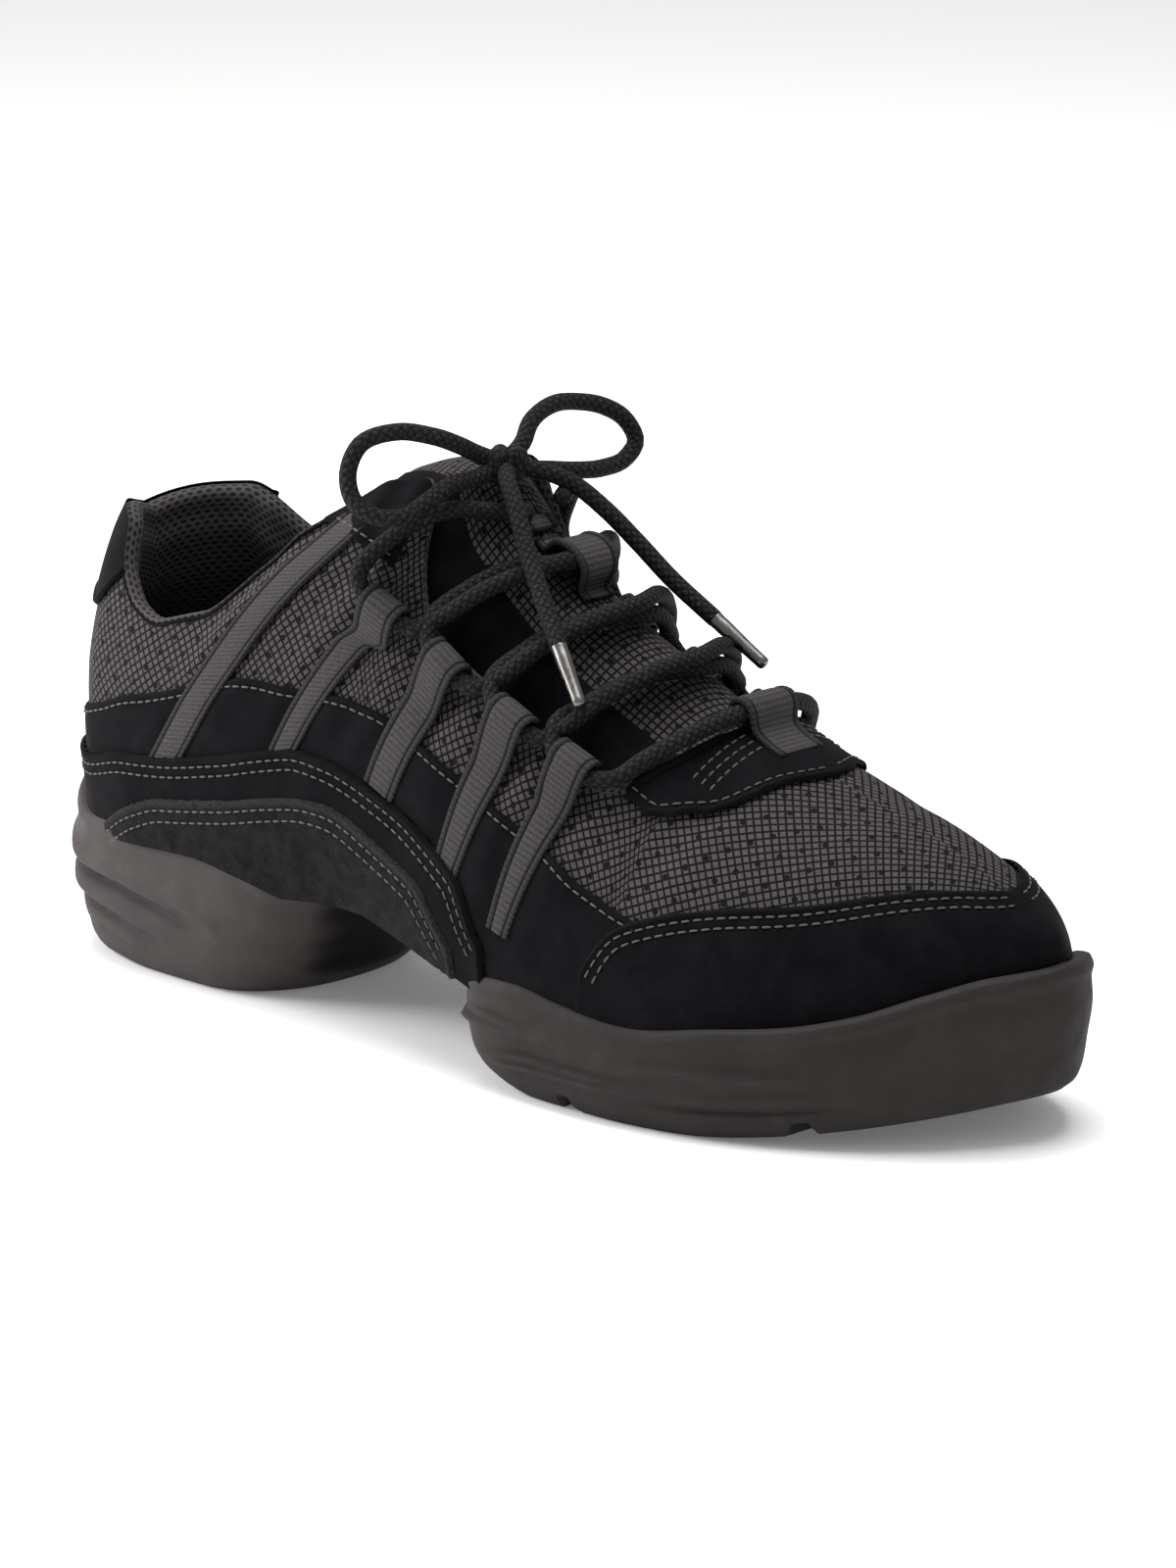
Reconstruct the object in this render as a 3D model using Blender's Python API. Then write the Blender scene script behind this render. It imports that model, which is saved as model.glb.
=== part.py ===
"""Dance sneaker, right foot, with a split sole, in metres: +X to the toe, +Y to the inner side, +Z up.

The upper is one closed form over the last, read from short tables of shares. Its wall, the tongue,
the overlays, the straps and the laces are all placed on that form by a share of the length, a share
of the way up from the sole's edge to the ridge of the instep, and a height over the surface.
"""
import math

import bmesh
import bpy
import numpy as np

SOLE_LENGTH = 0.272        # heel to toe, over the sole
BALL_WIDTH = 0.092         # widest place of the sole
HEEL_WIDTH = 0.071         # widest place of the heel
INSTEP_HEIGHT = 0.1285     # top of the lacing over the floor
HEEL_HEIGHT = 0.0995       # back of the collar over the floor
SEAT_HEIGHT = 0.027        # upper's bottom edge over the floor, at the heel
HEEL_LEAN = 0.010          # depth of the heel's back curve
TOE_MARGIN = 0.0045        # sole in front of the upper
SOLE_MARGIN = 0.0032       # sole outside the upper's bottom edge, along the sides
UPPER_WALL = 0.0025
COLLAR_PAD = 0.0045        # padding inside the collar, over the wall
BOARD = 0.002              # bottom of the upper
LASTING_MARGIN = 0.012     # rim of the bottom that is left around each sole pod
INSOLE_THICKNESS = 0.0035
TONGUE_THICKNESS = 0.0045
TONGUE_EDGE = 0.002
TONGUE_DROP = 0.0010       # how much lower the tongue lies at the base of the throat
GAP = 0.0003               # between a cup sole and the upper
LIFT = 0.0005              # between curved pieces
OVERLAY_LIFT = 0.0009      # under a nubuck or suede overlay
BAND = 0.0012              # nubuck thickness
ARCH_BAND = 0.0018
SUEDE = 0.0015
WEBBING = 0.0012
LACE = 0.0045              # lace diameter
LOOP_HEIGHT = 0.95         # lace's middle over the form inside a loop, in lace diameters
LOOP_LEAD = 1.9            # where a strap leaves the form for its loop, in lace diameters from the lace
HEEL_SOLE_RIM = 0.032      # height of the heel pod's rim
FOREFOOT_SOLE_RIM = 0.026  # height of the forefoot pod's rim at the ball
TOE_SPRING = 0.010
REAR_ROCKER = 0.0065       # rise of the forefoot pod's rear edge over the floor
RIB = 0.0022               # depth of the ribs and steps in the sole's sides
HEEL_SOLE_END = 0.305      # share of the length where the heel pod ends
FOREFOOT_SOLE_START = 0.512
SOLE_CORNER = 0.016        # rounding of a pod's inner corners, seen from above
GROOVE_WIDTH = 0.004
GROOVE_DEPTH = 0.0035
TIP_LENGTH = 0.015
TIP_WIDTH = 0.0046
KNOT_SIZE = 0.0085
UPPER_ROWS = 8             # rows of points from the sole to the topline

# Outline of the sole: share of the length, middle as a share of half the ball width,
# half width as a share of the half width that heel or ball give there
PLAN = np.array([
    (0.000, 0.000, 0.00), (0.035, 0.000, 0.635), (0.080, 0.000, 0.875), (0.150, -0.011, 0.985),
    (0.240, -0.022, 1.00), (0.320, -0.043, 0.970), (0.400, -0.076, 0.900), (0.480, -0.120, 0.860),
    (0.560, -0.130, 0.875), (0.640, -0.087, 0.945), (0.720, -0.033, 1.00), (0.780, 0.007, 0.980),
    (0.840, 0.065, 0.900), (0.900, 0.152, 0.760), (0.950, 0.228, 0.555), (0.985, 0.283, 0.295),
    (1.000, 0.304, 0.00)])
# Sections of the upper: share of the length, bulge as a share of the half width, shoulder as a share
# of it, ridge's side step as a share of half the ball width, bottom edge as a share of the seat height,
# then ridge, outer topline and inner topline as shares of the height that heel or instep give there
SECTIONS = np.array([
    (0.000, 0.00, 1.00, 0.000, 1.00, 1.256, 0.995, 0.995),
    (0.025, 0.06, 1.02, 0.000, 1.00, 1.252, 1.027, 1.027),
    (0.050, 0.11, 1.02, 0.000, 1.00, 1.190, 1.002, 1.024),
    (0.080, 0.14, 1.02, 0.000, 1.00, 1.100, 0.886, 0.985),
    (0.115, 0.14, 1.03, 0.000, 1.00, 1.035, 0.800, 0.900),
    (0.155, 0.14, 1.08, 0.000, 0.98, 0.982, 0.758, 0.804),
    (0.200, 0.14, 1.12, 0.000, 0.98, 0.962, 0.760, 0.772),
    (0.250, 0.14, 1.15, 0.000, 0.98, 0.972, 0.840, 0.840),
    (0.300, 0.15, 1.12, 0.000, 1.02, 0.992, 0.922, 0.922),
    (0.345, 0.16, 1.05, 0.022, 1.07, 1.004, 0.955, 0.955),
    (0.370, 0.17, 1.00, 0.033, 1.09, 1.005, 0.960, 0.960),
    (0.390, 0.17, 0.93, 0.043, 1.10, 1.000, 0.935, 0.935),
    (0.410, 0.17, 0.88, 0.054, 1.10, 0.970, 0.833, 0.833),
    (0.440, 0.16, 0.82, 0.065, 1.05, 0.915, 0.743, 0.743),
    (0.520, 0.14, 0.75, 0.087, 0.88, 0.800, 0.646, 0.646),
    (0.600, 0.09, 0.72, 0.130, 0.70, 0.712, 0.568, 0.568),
    (0.655, 0.06, 0.72, 0.163, 0.62, 0.655, 0.521, 0.521),
    (0.680, 0.05, 0.72, 0.174, 0.59, 0.630, 0.568, 0.568),
    (0.700, 0.04, 0.72, 0.178, 0.57, 0.605, 0.605, 0.605),
    (0.780, 0.03, 0.74, 0.207, 0.54, 0.541, 0.541, 0.541),
    (0.870, 0.03, 0.77, 0.239, 0.61, 0.482, 0.482, 0.482),
    (0.940, 0.02, 0.82, 0.272, 0.74, 0.420, 0.420, 0.420),
    (0.975, 0.01, 0.88, 0.293, 0.83, 0.373, 0.373, 0.373),
    (1.000, 0.00, 0.90, 0.304, 0.93, 0.335, 0.335, 0.335)])
# Back curve of the heel: share of the heel height, share of the lean
HEEL_BACK = np.array([
    (0.20, 0.60), (0.43, 0.35), (0.66, 0.25), (0.82, 0.45), (0.965, 0.80), (1.065, 1.20), (1.27, 1.80)])
# Rims of the two pods: share of the length, share of the pod's rim height
HEEL_RIM = np.array([(0.00, 0.86), (0.08, 0.87), (0.15, 0.95), (0.21, 1.04), (0.27, 1.00), (0.31, 0.95)])
FOREFOOT_RIM = np.array([
    (0.50, 0.86), (0.56, 0.90), (0.62, 1.00), (0.67, 0.98), (0.73, 0.90), (0.80, 1.05), (0.87, 1.16),
    (0.92, 1.20), (0.955, 1.32), (0.985, 1.44), (1.00, 1.48)])
# Sides of a pod, from the floor up: share of the height, inset as a share of the rib depth
HEEL_SIDE = ((0.00, 3.0), (0.04, 2.1), (0.13, 1.3), (0.27, 0.7), (0.33, 1.1), (0.39, 0.4), (0.57, 0.1),
             (0.63, 0.8), (0.69, 0.0), (0.92, 0.1), (1.00, 0.7))
FOREFOOT_SIDE = ((0.00, 1.9), (0.07, 1.0), (0.32, 0.3), (0.40, 0.95), (0.48, 0.15), (0.80, 0.0),
                 (0.93, 0.25), (1.00, 0.75))
# Places of the transverse grooves in the forefoot tread, as shares of the length
GROOVES = (0.655, 0.815)
# Edges on the upper: share of the length, share of the way up
BAND_TOP = np.array([
    (0.00, 0.21), (0.03, 0.225), (0.09, 0.30), (0.15, 0.365), (0.25, 0.40), (0.34, 0.36), (0.39, 0.355),
    (0.44, 0.38), (0.53, 0.395), (0.62, 0.385), (0.66, 0.36), (0.72, 0.35)])
ARCH_TOP = np.array([
    (0.00, 0.15), (0.06, 0.175), (0.155, 0.242), (0.33, 0.26), (0.40, 0.242), (0.47, 0.25), (0.54, 0.22),
    (0.565, 0.14), (0.60, 0.05)])
SUEDE_TOP = np.array([(0.09, 0.06), (0.18, 0.163), (0.34, 0.18), (0.42, 0.165), (0.49, 0.155), (0.54, 0.06)])
CAP_TOP = np.array([
    (0.680, 0.18), (0.690, 0.25), (0.700, 0.30), (0.72, 0.35), (0.78, 0.453), (0.85, 0.55), (0.91, 0.72),
    (0.933, 0.82), (0.947, 0.91), (0.953, 1.00)])
SADDLE_LOW = np.array([
    (0.66, 0.575), (0.688, 0.573), (0.72, 0.633), (0.745, 0.698), (0.764, 0.845), (0.775, 0.93), (0.780, 1.00)])
TONGUE_LOW = np.array([
    (0.30, 0.86), (0.34, 0.78), (0.385, 0.68), (0.44, 0.50), (0.52, 0.48), (0.60, 0.47), (0.66, 0.49),
    (0.70, 0.58), (0.74, 0.66)])
EYESTAY_LOW = np.array([(0.270, 0.625), (0.300, 0.618), (0.340, 0.602), (0.390, 0.585)])
# Straps, from the heel forward: share of the length of the rear and the front edge and way up at the
# bottom, the same at the top with one way up for each edge, and whether the strap ends in a loop
STRAPS = (
    (0.173, 0.217, 0.275, 0.272, 0.320, 0.612, 0.588, False),
    (0.314, 0.350, 0.285, 0.383, 0.423, 0.535, 0.535, True),
    (0.424, 0.461, 0.290, 0.456, 0.496, 0.548, 0.548, True),
    (0.514, 0.546, 0.265, 0.533, 0.575, 0.560, 0.560, True),
    (0.577, 0.603, 0.165, 0.602, 0.642, 0.568, 0.568, True))
# Course of one half of the lace from the throat loop to the knot: share of the length, way down from
# the ridge, outer side first, height over the form in lace diameters
LACE_ROUTE = (
    (0.694, 0.000, 1.03), (0.692, 0.100, 1.03), (0.684, 0.220, 1.00), (0.670, 0.340, 0.97),
    (0.657, 0.412, 0.95), (0.645, 0.432, 0.95), (0.599, 0.432, 0.95), (0.590, 0.400, 0.95),
    (0.598, 0.300, 0.70), (0.615, 0.140, 0.45), (0.628, 0.000, 0.35), (0.624, -0.130, 0.45),
    (0.610, -0.290, 0.70), (0.594, -0.400, 0.90), (0.583, -0.438, 0.95), (0.575, -0.440, 0.95),
    (0.533, -0.440, 0.95), (0.522, -0.415, 0.95), (0.526, -0.310, 0.70), (0.544, -0.150, 0.45),
    (0.560, 0.000, 0.35), (0.555, 0.140, 0.45), (0.539, 0.300, 0.70), (0.520, 0.415, 0.90),
    (0.507, 0.450, 0.95), (0.496, 0.452, 0.95), (0.456, 0.452, 0.95), (0.446, 0.425, 0.95),
    (0.454, 0.310, 0.70), (0.478, 0.150, 0.45), (0.500, 0.000, 0.35), (0.492, -0.130, 0.45),
    (0.470, -0.290, 0.70), (0.448, -0.410, 0.90), (0.435, -0.455, 0.95), (0.423, -0.465, 0.95),
    (0.383, -0.465, 0.95), (0.373, -0.440, 1.15), (0.380, -0.350, 1.25), (0.406, -0.230, 0.72),
    (0.430, -0.130, 0.35), (0.444, -0.050, 0.50))
# Free cords of the bow, with hand-laid points in metres
KNOT_PLACE = (-0.0165, 0.0013, 0.1262)
BOW_LOOP_OUTER = (
    (-0.0190, -0.0048, 0.1290), (-0.0190, -0.0107, 0.1318), (-0.0200, -0.0187, 0.1350),
    (-0.0240, -0.0257, 0.1364), (-0.0290, -0.0320, 0.1338), (-0.0300, -0.0350, 0.1270),
    (-0.0275, -0.0355, 0.1217), (-0.0227, -0.0340, 0.1190), (-0.0183, -0.0298, 0.1188),
    (-0.0165, -0.0235, 0.1218), (-0.0168, -0.0155, 0.1242), (-0.0172, -0.0072, 0.1242))
BOW_LOOP_INNER = (
    (-0.0170, 0.0076, 0.1300), (-0.0182, 0.0113, 0.1337), (-0.0184, 0.0193, 0.1368),
    (-0.0176, 0.0263, 0.1364), (-0.0153, 0.0323, 0.1349), (-0.0129, 0.0373, 0.1314),
    (-0.0112, 0.0390, 0.1265), (-0.0109, 0.0353, 0.1232), (-0.0114, 0.0283, 0.1220),
    (-0.0122, 0.0203, 0.1226), (-0.0138, 0.0133, 0.1236), (-0.0150, 0.0080, 0.1244))
LACE_END_OUTER = (
    (-0.0108, -0.0042, 0.1243), (-0.0048, -0.0082, 0.1205), (0.0018, -0.0119, 0.1130),
    (0.0094, -0.0156, 0.1052), (0.0154, -0.0185, 0.0991), (0.0196, -0.0203, 0.0948))
LACE_END_INNER = (
    (-0.0108, 0.0070, 0.1248), (-0.0060, 0.0123, 0.1218), (0.0000, 0.0163, 0.1164),
    (0.0068, 0.0193, 0.1098), (0.0152, 0.0215, 0.1024), (0.0264, 0.0236, 0.0948))

COLOURS = {
    "mesh": ((0.075, 0.072, 0.070), 0.85),
    "nubuck": ((0.022, 0.022, 0.026), 0.80),
    "suede": ((0.060, 0.058, 0.060), 0.95),
    "webbing": ((0.100, 0.096, 0.092), 0.75),
    "lace": ((0.060, 0.057, 0.054), 0.80),
    "lining": ((0.060, 0.058, 0.056), 0.90),
    "sole": ((0.100, 0.092, 0.088), 0.60),
    "tip": ((0.550, 0.540, 0.530), 0.30),
}


def smooth(t):
    t = np.clip(t, 0.0, 1.0)
    return t * t * (3.0 - 2.0 * t)


def turn_of(share):
    """Share of the length as a share of a half turn, so that heel and toe close roundly."""
    return np.arccos(np.clip(1.0 - 2.0 * np.asarray(share, float), -1.0, 1.0)) / math.pi


def share_of(turn):
    return (1.0 - np.cos(math.pi * np.asarray(turn, float))) / 2.0


def curve_through(xs, ys, x):
    """Smooth curve through a table's rows that never overshoots them."""
    step = np.diff(xs)
    rise = np.diff(ys) / step
    slope = np.zeros(len(xs))
    after, before = 2 * step[1:] + step[:-1], step[1:] + 2 * step[:-1]
    same = rise[:-1] * rise[1:] > 0
    safe = np.where(same, rise[:-1] * rise[1:], 1.0)
    mean = (after + before) * safe / (after * np.where(same, rise[1:], 1.0)
                                      + before * np.where(same, rise[:-1], 1.0))
    slope[1:-1] = np.where(same, mean, 0.0)
    slope[0], slope[-1] = rise[0], rise[-1]
    x = np.clip(np.asarray(x, float), xs[0], xs[-1])
    i = np.clip(np.searchsorted(xs, x, side="right") - 1, 0, len(step) - 1)
    t = (x - xs[i]) / step[i]
    start = (2 * t ** 3 - 3 * t ** 2 + 1) * ys[i] + (t ** 3 - 2 * t ** 2 + t) * step[i] * slope[i]
    end = (3 * t ** 2 - 2 * t ** 3) * ys[i + 1] + (t ** 3 - t ** 2) * step[i] * slope[i + 1]
    return start + end


def read(table, column, share):
    """One column of a table of sections, at a share of the length."""
    return curve_through(turn_of(table[:, 0]), table[:, column], turn_of(share))


def half_width_at(share):
    return (HEEL_WIDTH + (BALL_WIDTH - HEEL_WIDTH) * smooth((share - 0.30) / 0.34)) / 2


def height_at(share):
    return HEEL_HEIGHT + (INSTEP_HEIGHT - HEEL_HEIGHT) * smooth(share / 0.385)


def sole_middle(share):
    return read(PLAN, 1, share) * BALL_WIDTH / 2


def sole_half(share):
    return read(PLAN, 2, share) * half_width_at(share)


STEP = 1e-4                # step for slopes, in shares
SHARES = np.linspace(0.0, 1.0, 201)
SIDE_STEP = -(np.min(sole_middle(SHARES) - sole_half(SHARES))
              + np.max(sole_middle(SHARES) + sole_half(SHARES))) / 2
RISE = 1.26 * SHARES * (1 - SHARES) ** 2 + 3 * SHARES ** 2 * (1 - SHARES) + SHARES ** 3


def bottom_edge(share):
    return read(SECTIONS, 4, share) * SEAT_HEIGHT


def ridge_height(share):
    return read(SECTIONS, 5, share) * height_at(share)


def way_up(share, z):
    """Share of the way up at which the form reaches a height."""
    low = bottom_edge(share)
    return np.interp(np.clip((z - low) / (ridge_height(share) - low), 0, 1), RISE, SHARES)


def topline(share, side):
    """Share of the way up where the upper ends at the collar and the throat."""
    share, side = np.broadcast_arrays(np.asarray(share, float), side)
    edge = np.where(side < 0, read(SECTIONS, 6, share), read(SECTIONS, 7, share)) * height_at(share)
    return way_up(share, edge)


def form(turn, up, side):
    """Points of the closed form over the last."""
    turn, up, side = np.broadcast_arrays(np.asarray(turn, float), np.asarray(up, float), side)
    share = share_of(turn)
    wide = sole_half(share)
    near_end = np.clip(wide / 0.014, 0, 1)
    half = np.maximum(wide - SOLE_MARGIN * near_end, 0)
    middle, ridge = sole_middle(share), read(SECTIONS, 3, share) * BALL_WIDTH / 2
    bulge = read(SECTIONS, 1, share) * half_width_at(share) * 1.6 * near_end
    low, high = bottom_edge(share), ridge_height(share)
    down = 1 - up
    z = low + (high - low) * (1.26 * up * down ** 2 + 3 * up ** 2 * down + up ** 3)
    y = (down ** 3 * (middle + side * half) + 3 * up * down ** 2 * (middle + side * (half + bulge))
         + 3 * up ** 2 * down * (ridge + side * half * read(SECTIONS, 2, share)) + up ** 3 * ridge)
    back = curve_through(HEEL_BACK[:, 0], HEEL_BACK[:, 1], z / HEEL_HEIGHT) * HEEL_LEAN
    x = back + share * (SOLE_LENGTH - TOE_MARGIN - back) - SOLE_LENGTH / 2
    return np.stack([x, y + SIDE_STEP, z], -1)


def past_seam(turn, up, side):
    """Points of the form; what runs past heel, toe or ridge goes on over the other side."""
    crossings = (turn < 0).astype(int) + (turn > 1) + (up > 1)
    turn = np.where(turn < 0, -turn, np.where(turn > 1, 2 - turn, turn))
    return form(turn, np.where(up > 1, 2 - up, up), side * (-1.0) ** crossings)


def place(share, up, side, lift=0.0):
    """Points on the form, moved out along its normal by lift."""
    share, up, side, lift = np.broadcast_arrays(
        np.asarray(share, float), np.asarray(up, float), np.asarray(side, float), lift)
    turn = turn_of(share)
    along = past_seam(turn + STEP, up, side) - past_seam(turn - STEP, up, side)
    rising = past_seam(turn, up + STEP, side) - past_seam(turn, up - STEP, side)
    normal = np.cross(along, rising) * -side[..., None]
    normal /= np.maximum(np.linalg.norm(normal, axis=-1, keepdims=True), 1e-12)
    return form(turn, up, side) + normal * lift[..., None]


def grid_faces(rows, columns, first=0, closed=False):
    """Four-sided faces of a grid of points, closed around its columns where asked."""
    faces = []
    for i in range(rows - 1):
        for j in range(columns if closed else columns - 1):
            k = (j + 1) % columns
            a, b = first + i * columns, first + (i + 1) * columns
            faces.append((a + j, b + j, b + k, a + k))
    return faces


def material(name):
    colour, roughness = COLOURS[name]
    made = bpy.data.materials.new(name)
    made.use_nodes = True
    shader = made.node_tree.nodes["Principled BSDF"]
    shader.inputs["Base Color"].default_value = (*colour, 1.0)
    shader.inputs["Roughness"].default_value = roughness
    return made


def add_object(name, points, faces, finish):
    """Closed mesh object with one material; doubled points are joined and the normals turned out."""
    mesh = bpy.data.meshes.new(name)
    mesh.from_pydata([tuple(p) for p in np.asarray(points, float)], [], faces)
    work = bmesh.new()
    work.from_mesh(mesh)
    bmesh.ops.remove_doubles(work, verts=work.verts, dist=1e-7)
    bmesh.ops.recalc_face_normals(work, faces=work.faces)
    for face in work.faces:
        face.smooth = True
    work.to_mesh(mesh)
    work.free()
    made = bpy.data.objects.new(name, mesh)
    made.data.materials.append(material(finish))
    bpy.context.collection.objects.link(made)
    return made


def shell(name, outer, inner, faces, finish):
    """Solid between two copies of a sheet, closed along the sheet's free edges."""
    outer, inner = np.asarray(outer).reshape(-1, 3), np.asarray(inner).reshape(-1, 3)
    keys, first, joined = np.unique(np.round(outer / 1e-6).astype(int), axis=0, return_index=True,
                                    return_inverse=True)
    joined = joined.ravel()
    count = len(keys)
    inside = np.zeros((count, 3))
    np.add.at(inside, joined, inner)
    inside /= np.bincount(joined, minlength=count)[:, None]
    sheet = []
    for face in faces:
        corners = list(dict.fromkeys(int(joined[k]) for k in face))
        if len(corners) > 2:
            sheet.append(corners)
    used = {}
    for face in sheet:
        for a, b in zip(face, face[1:] + face[:1]):
            used.setdefault(frozenset((a, b)), []).append((a, b))
    closed = sheet + [[k + count for k in reversed(face)] for face in sheet]
    for ways in used.values():
        if len(ways) == 1:
            a, b = ways[0]
            closed.append([b, a, a + count, b + count])
    return add_object(name, np.concatenate([outer[first], inside]), closed, finish)


def patch(name, share, up, side, lift, thickness, finish):
    """Overlay on the form: a grid of shares and ways up, lifted off it by lift."""
    outer = place(share, up, side, lift + thickness)
    inner = place(share, up, side, lift)
    return shell(name, outer, inner, grid_faces(*outer.shape[:2]), finish)


def stations(start, end, count=38):
    """Stations along the shoe, the same for every piece that lies on another."""
    turns = np.linspace(0, 1, count)
    marks = turn_of(np.array([0.39, 0.655, 0.68, 0.70]))
    turns = np.unique(np.concatenate([turns[np.abs(turns[:, None] - marks).min(1) > 0.006], marks]))
    low, high = float(turn_of(start)), float(turn_of(end))
    inside = turns[(turns > low + 0.006) & (turns < high - 0.006)]
    return share_of(np.concatenate([[low], inside, [high]]))


def wrapped(start, end, rows, low_edge, high_edge):
    """Grid that runs around the heel from the outer side to the inner one, between two edges."""
    share = stations(start, end)
    shares = np.concatenate([share[::-1], share[1:]])
    sides = np.concatenate([-np.ones(len(share)), np.ones(len(share) - 1)])
    low, high = low_edge(shares, sides), high_edge(shares, sides)
    part = np.linspace(0, 1, rows)[None, :]
    up = low[:, None] * (1 - part) + high[:, None] * part
    return np.repeat(shares[:, None], rows, 1), up, np.repeat(sides[:, None], rows, 1)


def edge(table):
    return lambda share, side: read(table, 1, share)


def sole_edge(share, side):
    """Way up at which an overlay stops over the sole's rim, or over the bottom edge at the arch."""
    heel = np.where(share < HEEL_SOLE_END + 0.006, heel_rim(share), 0.0)
    ball = np.where(share > FOREFOOT_SOLE_START - 0.006, forefoot_rim(share), 0.0)
    rim = np.maximum(np.maximum(heel, ball), bottom_edge(share))
    return way_up(share, rim + 3 * GAP)


def heel_rim(share):
    return read(HEEL_RIM, 1, share) * HEEL_SOLE_RIM


def forefoot_rim(share):
    return read(FOREFOOT_RIM, 1, share) * FOREFOOT_SOLE_RIM


def make_upper():
    """One hollow solid: both sides, joined at heel, toe and vamp, and a bottom with two windows."""
    share = stations(0.0, 1.0)
    rows = UPPER_ROWS
    part = np.linspace(0, 1, rows)[None, :]
    outer, inner, faces, first = [], [], [], 0
    for side in (-1.0, 1.0):
        up = topline(share, side)[:, None] * part
        grid = np.repeat(share[:, None], rows, 1)
        padded = smooth((0.345 - grid) / 0.07) * smooth((part - 0.45) / 0.3) * (1 - 0.6 * part ** 12)
        wall = UPPER_WALL + COLLAR_PAD * padded
        outer.append(place(grid, up, side).reshape(-1, 3))
        inside = place(grid, up, side, -wall)
        inside[:, 0, 2] = bottom_edge(share) + BOARD
        inner.append(inside.reshape(-1, 3))
        faces += grid_faces(len(share), rows, first)
        first += len(share) * rows
    near, far = outer[0].reshape(-1, rows, 3)[:, 0], outer[1].reshape(-1, rows, 3)[:, 0]
    near_in, far_in = inner[0].reshape(-1, rows, 3)[:, 0], inner[1].reshape(-1, rows, 3)[:, 0]
    width = np.maximum(np.linalg.norm(far - near, axis=1), 1e-9)
    rim = np.minimum(LASTING_MARGIN / width, 0.45)
    across = np.stack([0 * rim, rim, 0 * rim + 0.5, 1 - rim, 0 * rim + 1], 1)[..., None]
    floor = near[:, None] * (1 - across) + far[:, None] * across
    floor_in = near_in[:, None] * (1 - across) + far_in[:, None] * across
    outer.append(floor.reshape(-1, 3))
    inner.append(floor_in.reshape(-1, 3))
    for i, face in enumerate(grid_faces(len(share), 5, first)):
        row, column = divmod(i, 4)
        middle = (share[row] + share[row + 1]) / 2
        windowed = 0.05 < middle < HEEL_SOLE_END - 0.05 or FOREFOOT_SOLE_START + 0.05 < middle < 0.95
        if column in (0, 3) or not windowed:
            faces.append(face[::-1])
    return shell("upper", np.concatenate(outer), np.concatenate(inner), faces, "mesh")


def make_insole():
    """Sock on the board, just inside the upper's wall."""
    share = stations(0.004, 0.990)
    inset = UPPER_WALL + 2 * LIFT
    near, far = place(share, 0.02, -1.0, -inset), place(share, 0.02, 1.0, -inset)
    across = np.linspace(0, 1, 4)[None, :, None]
    low = near[:, None] * (1 - across) + far[:, None] * across
    low[..., 2] = (bottom_edge(share) + BOARD + LIFT)[:, None]
    high = low + np.array([0, 0, INSOLE_THICKNESS])
    return shell("insole", high, low, grid_faces(len(share), 4), "lining")


def make_tongue():
    """Curved padded shell that runs under both edges of the throat."""
    share = stations(0.30, 0.735)
    part = np.linspace(-1, 1, 11)
    low = read(TONGUE_LOW, 1, share)[:, None]
    up = 1 - (1 - low) * np.abs(part)[None, :]
    side = np.where(part < 0, -1.0, 1.0)[None, :]
    grid = np.repeat(share[:, None], len(part), 1)
    thick = TONGUE_EDGE + (TONGUE_THICKNESS - TONGUE_EDGE) * (1 - np.abs(part)[None, :] ** 3)
    under = -(UPPER_WALL + 2 * LIFT) - TONGUE_DROP * smooth((share[:, None] - 0.62) / 0.05)
    outer = place(grid, up, side, under)
    inner = place(grid, up, side, under - thick)
    return shell("tongue", outer, inner, grid_faces(*outer.shape[:2]), "mesh")


def pod_outline(start, end, inset, count=24):
    """Near and far edges of a sole pod, with rounded inner corners, at one height."""
    turn = np.linspace(0, math.pi, count)
    share = start + (end - start) * (1 - np.cos(turn)) / 2
    full = sole_half(share)
    half = full - inset * np.clip(full / 0.014, 0, 1)
    from_start = np.clip((share - start) * SOLE_LENGTH / SOLE_CORNER, 0, 1) if start > 0 else 1.0
    from_end = np.clip((end - share) * SOLE_LENGTH / SOLE_CORNER, 0, 1) if end < 1 else 1.0
    rounding = (1 - (1 - np.minimum(from_start, from_end)) ** 2.4) ** (1 / 2.4)
    half = half * rounding
    pull = 2 * (share - start) / (end - start) - 1
    x = share * SOLE_LENGTH - inset * pull - SOLE_LENGTH / 2
    middle = sole_middle(share) + SIDE_STEP
    return share, x, middle - half, middle + half


def make_pod(name, start, end, profile, rim, floor):
    """Sole pod: a stack of outlines with ribbed sides, closed over and under, cut by the upper."""
    rings = []
    for level, inset in profile:
        share, x, near, far = pod_outline(start, end, inset * RIB)
        low = floor(share)
        z = low + (rim(share) - low) * level
        rings.append(np.concatenate([np.stack([x, near, z], 1), np.stack([x, far, z], 1)[-2:0:-1]]))
    rings = np.array(rings)
    levels, around = rings.shape[:2]
    faces = grid_faces(levels, around, closed=True)
    half = around // 2
    for first in (0, (levels - 1) * around):
        faces.append((first, first + 1, first + around - 1))
        for k in range(1, half - 1):
            faces.append((first + k, first + k + 1, first + around - k - 1, first + around - k))
        faces.append((first + half - 1, first + half, first + half + 1))
    return add_object(name, rings.reshape(-1, 3), faces, "sole")


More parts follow.
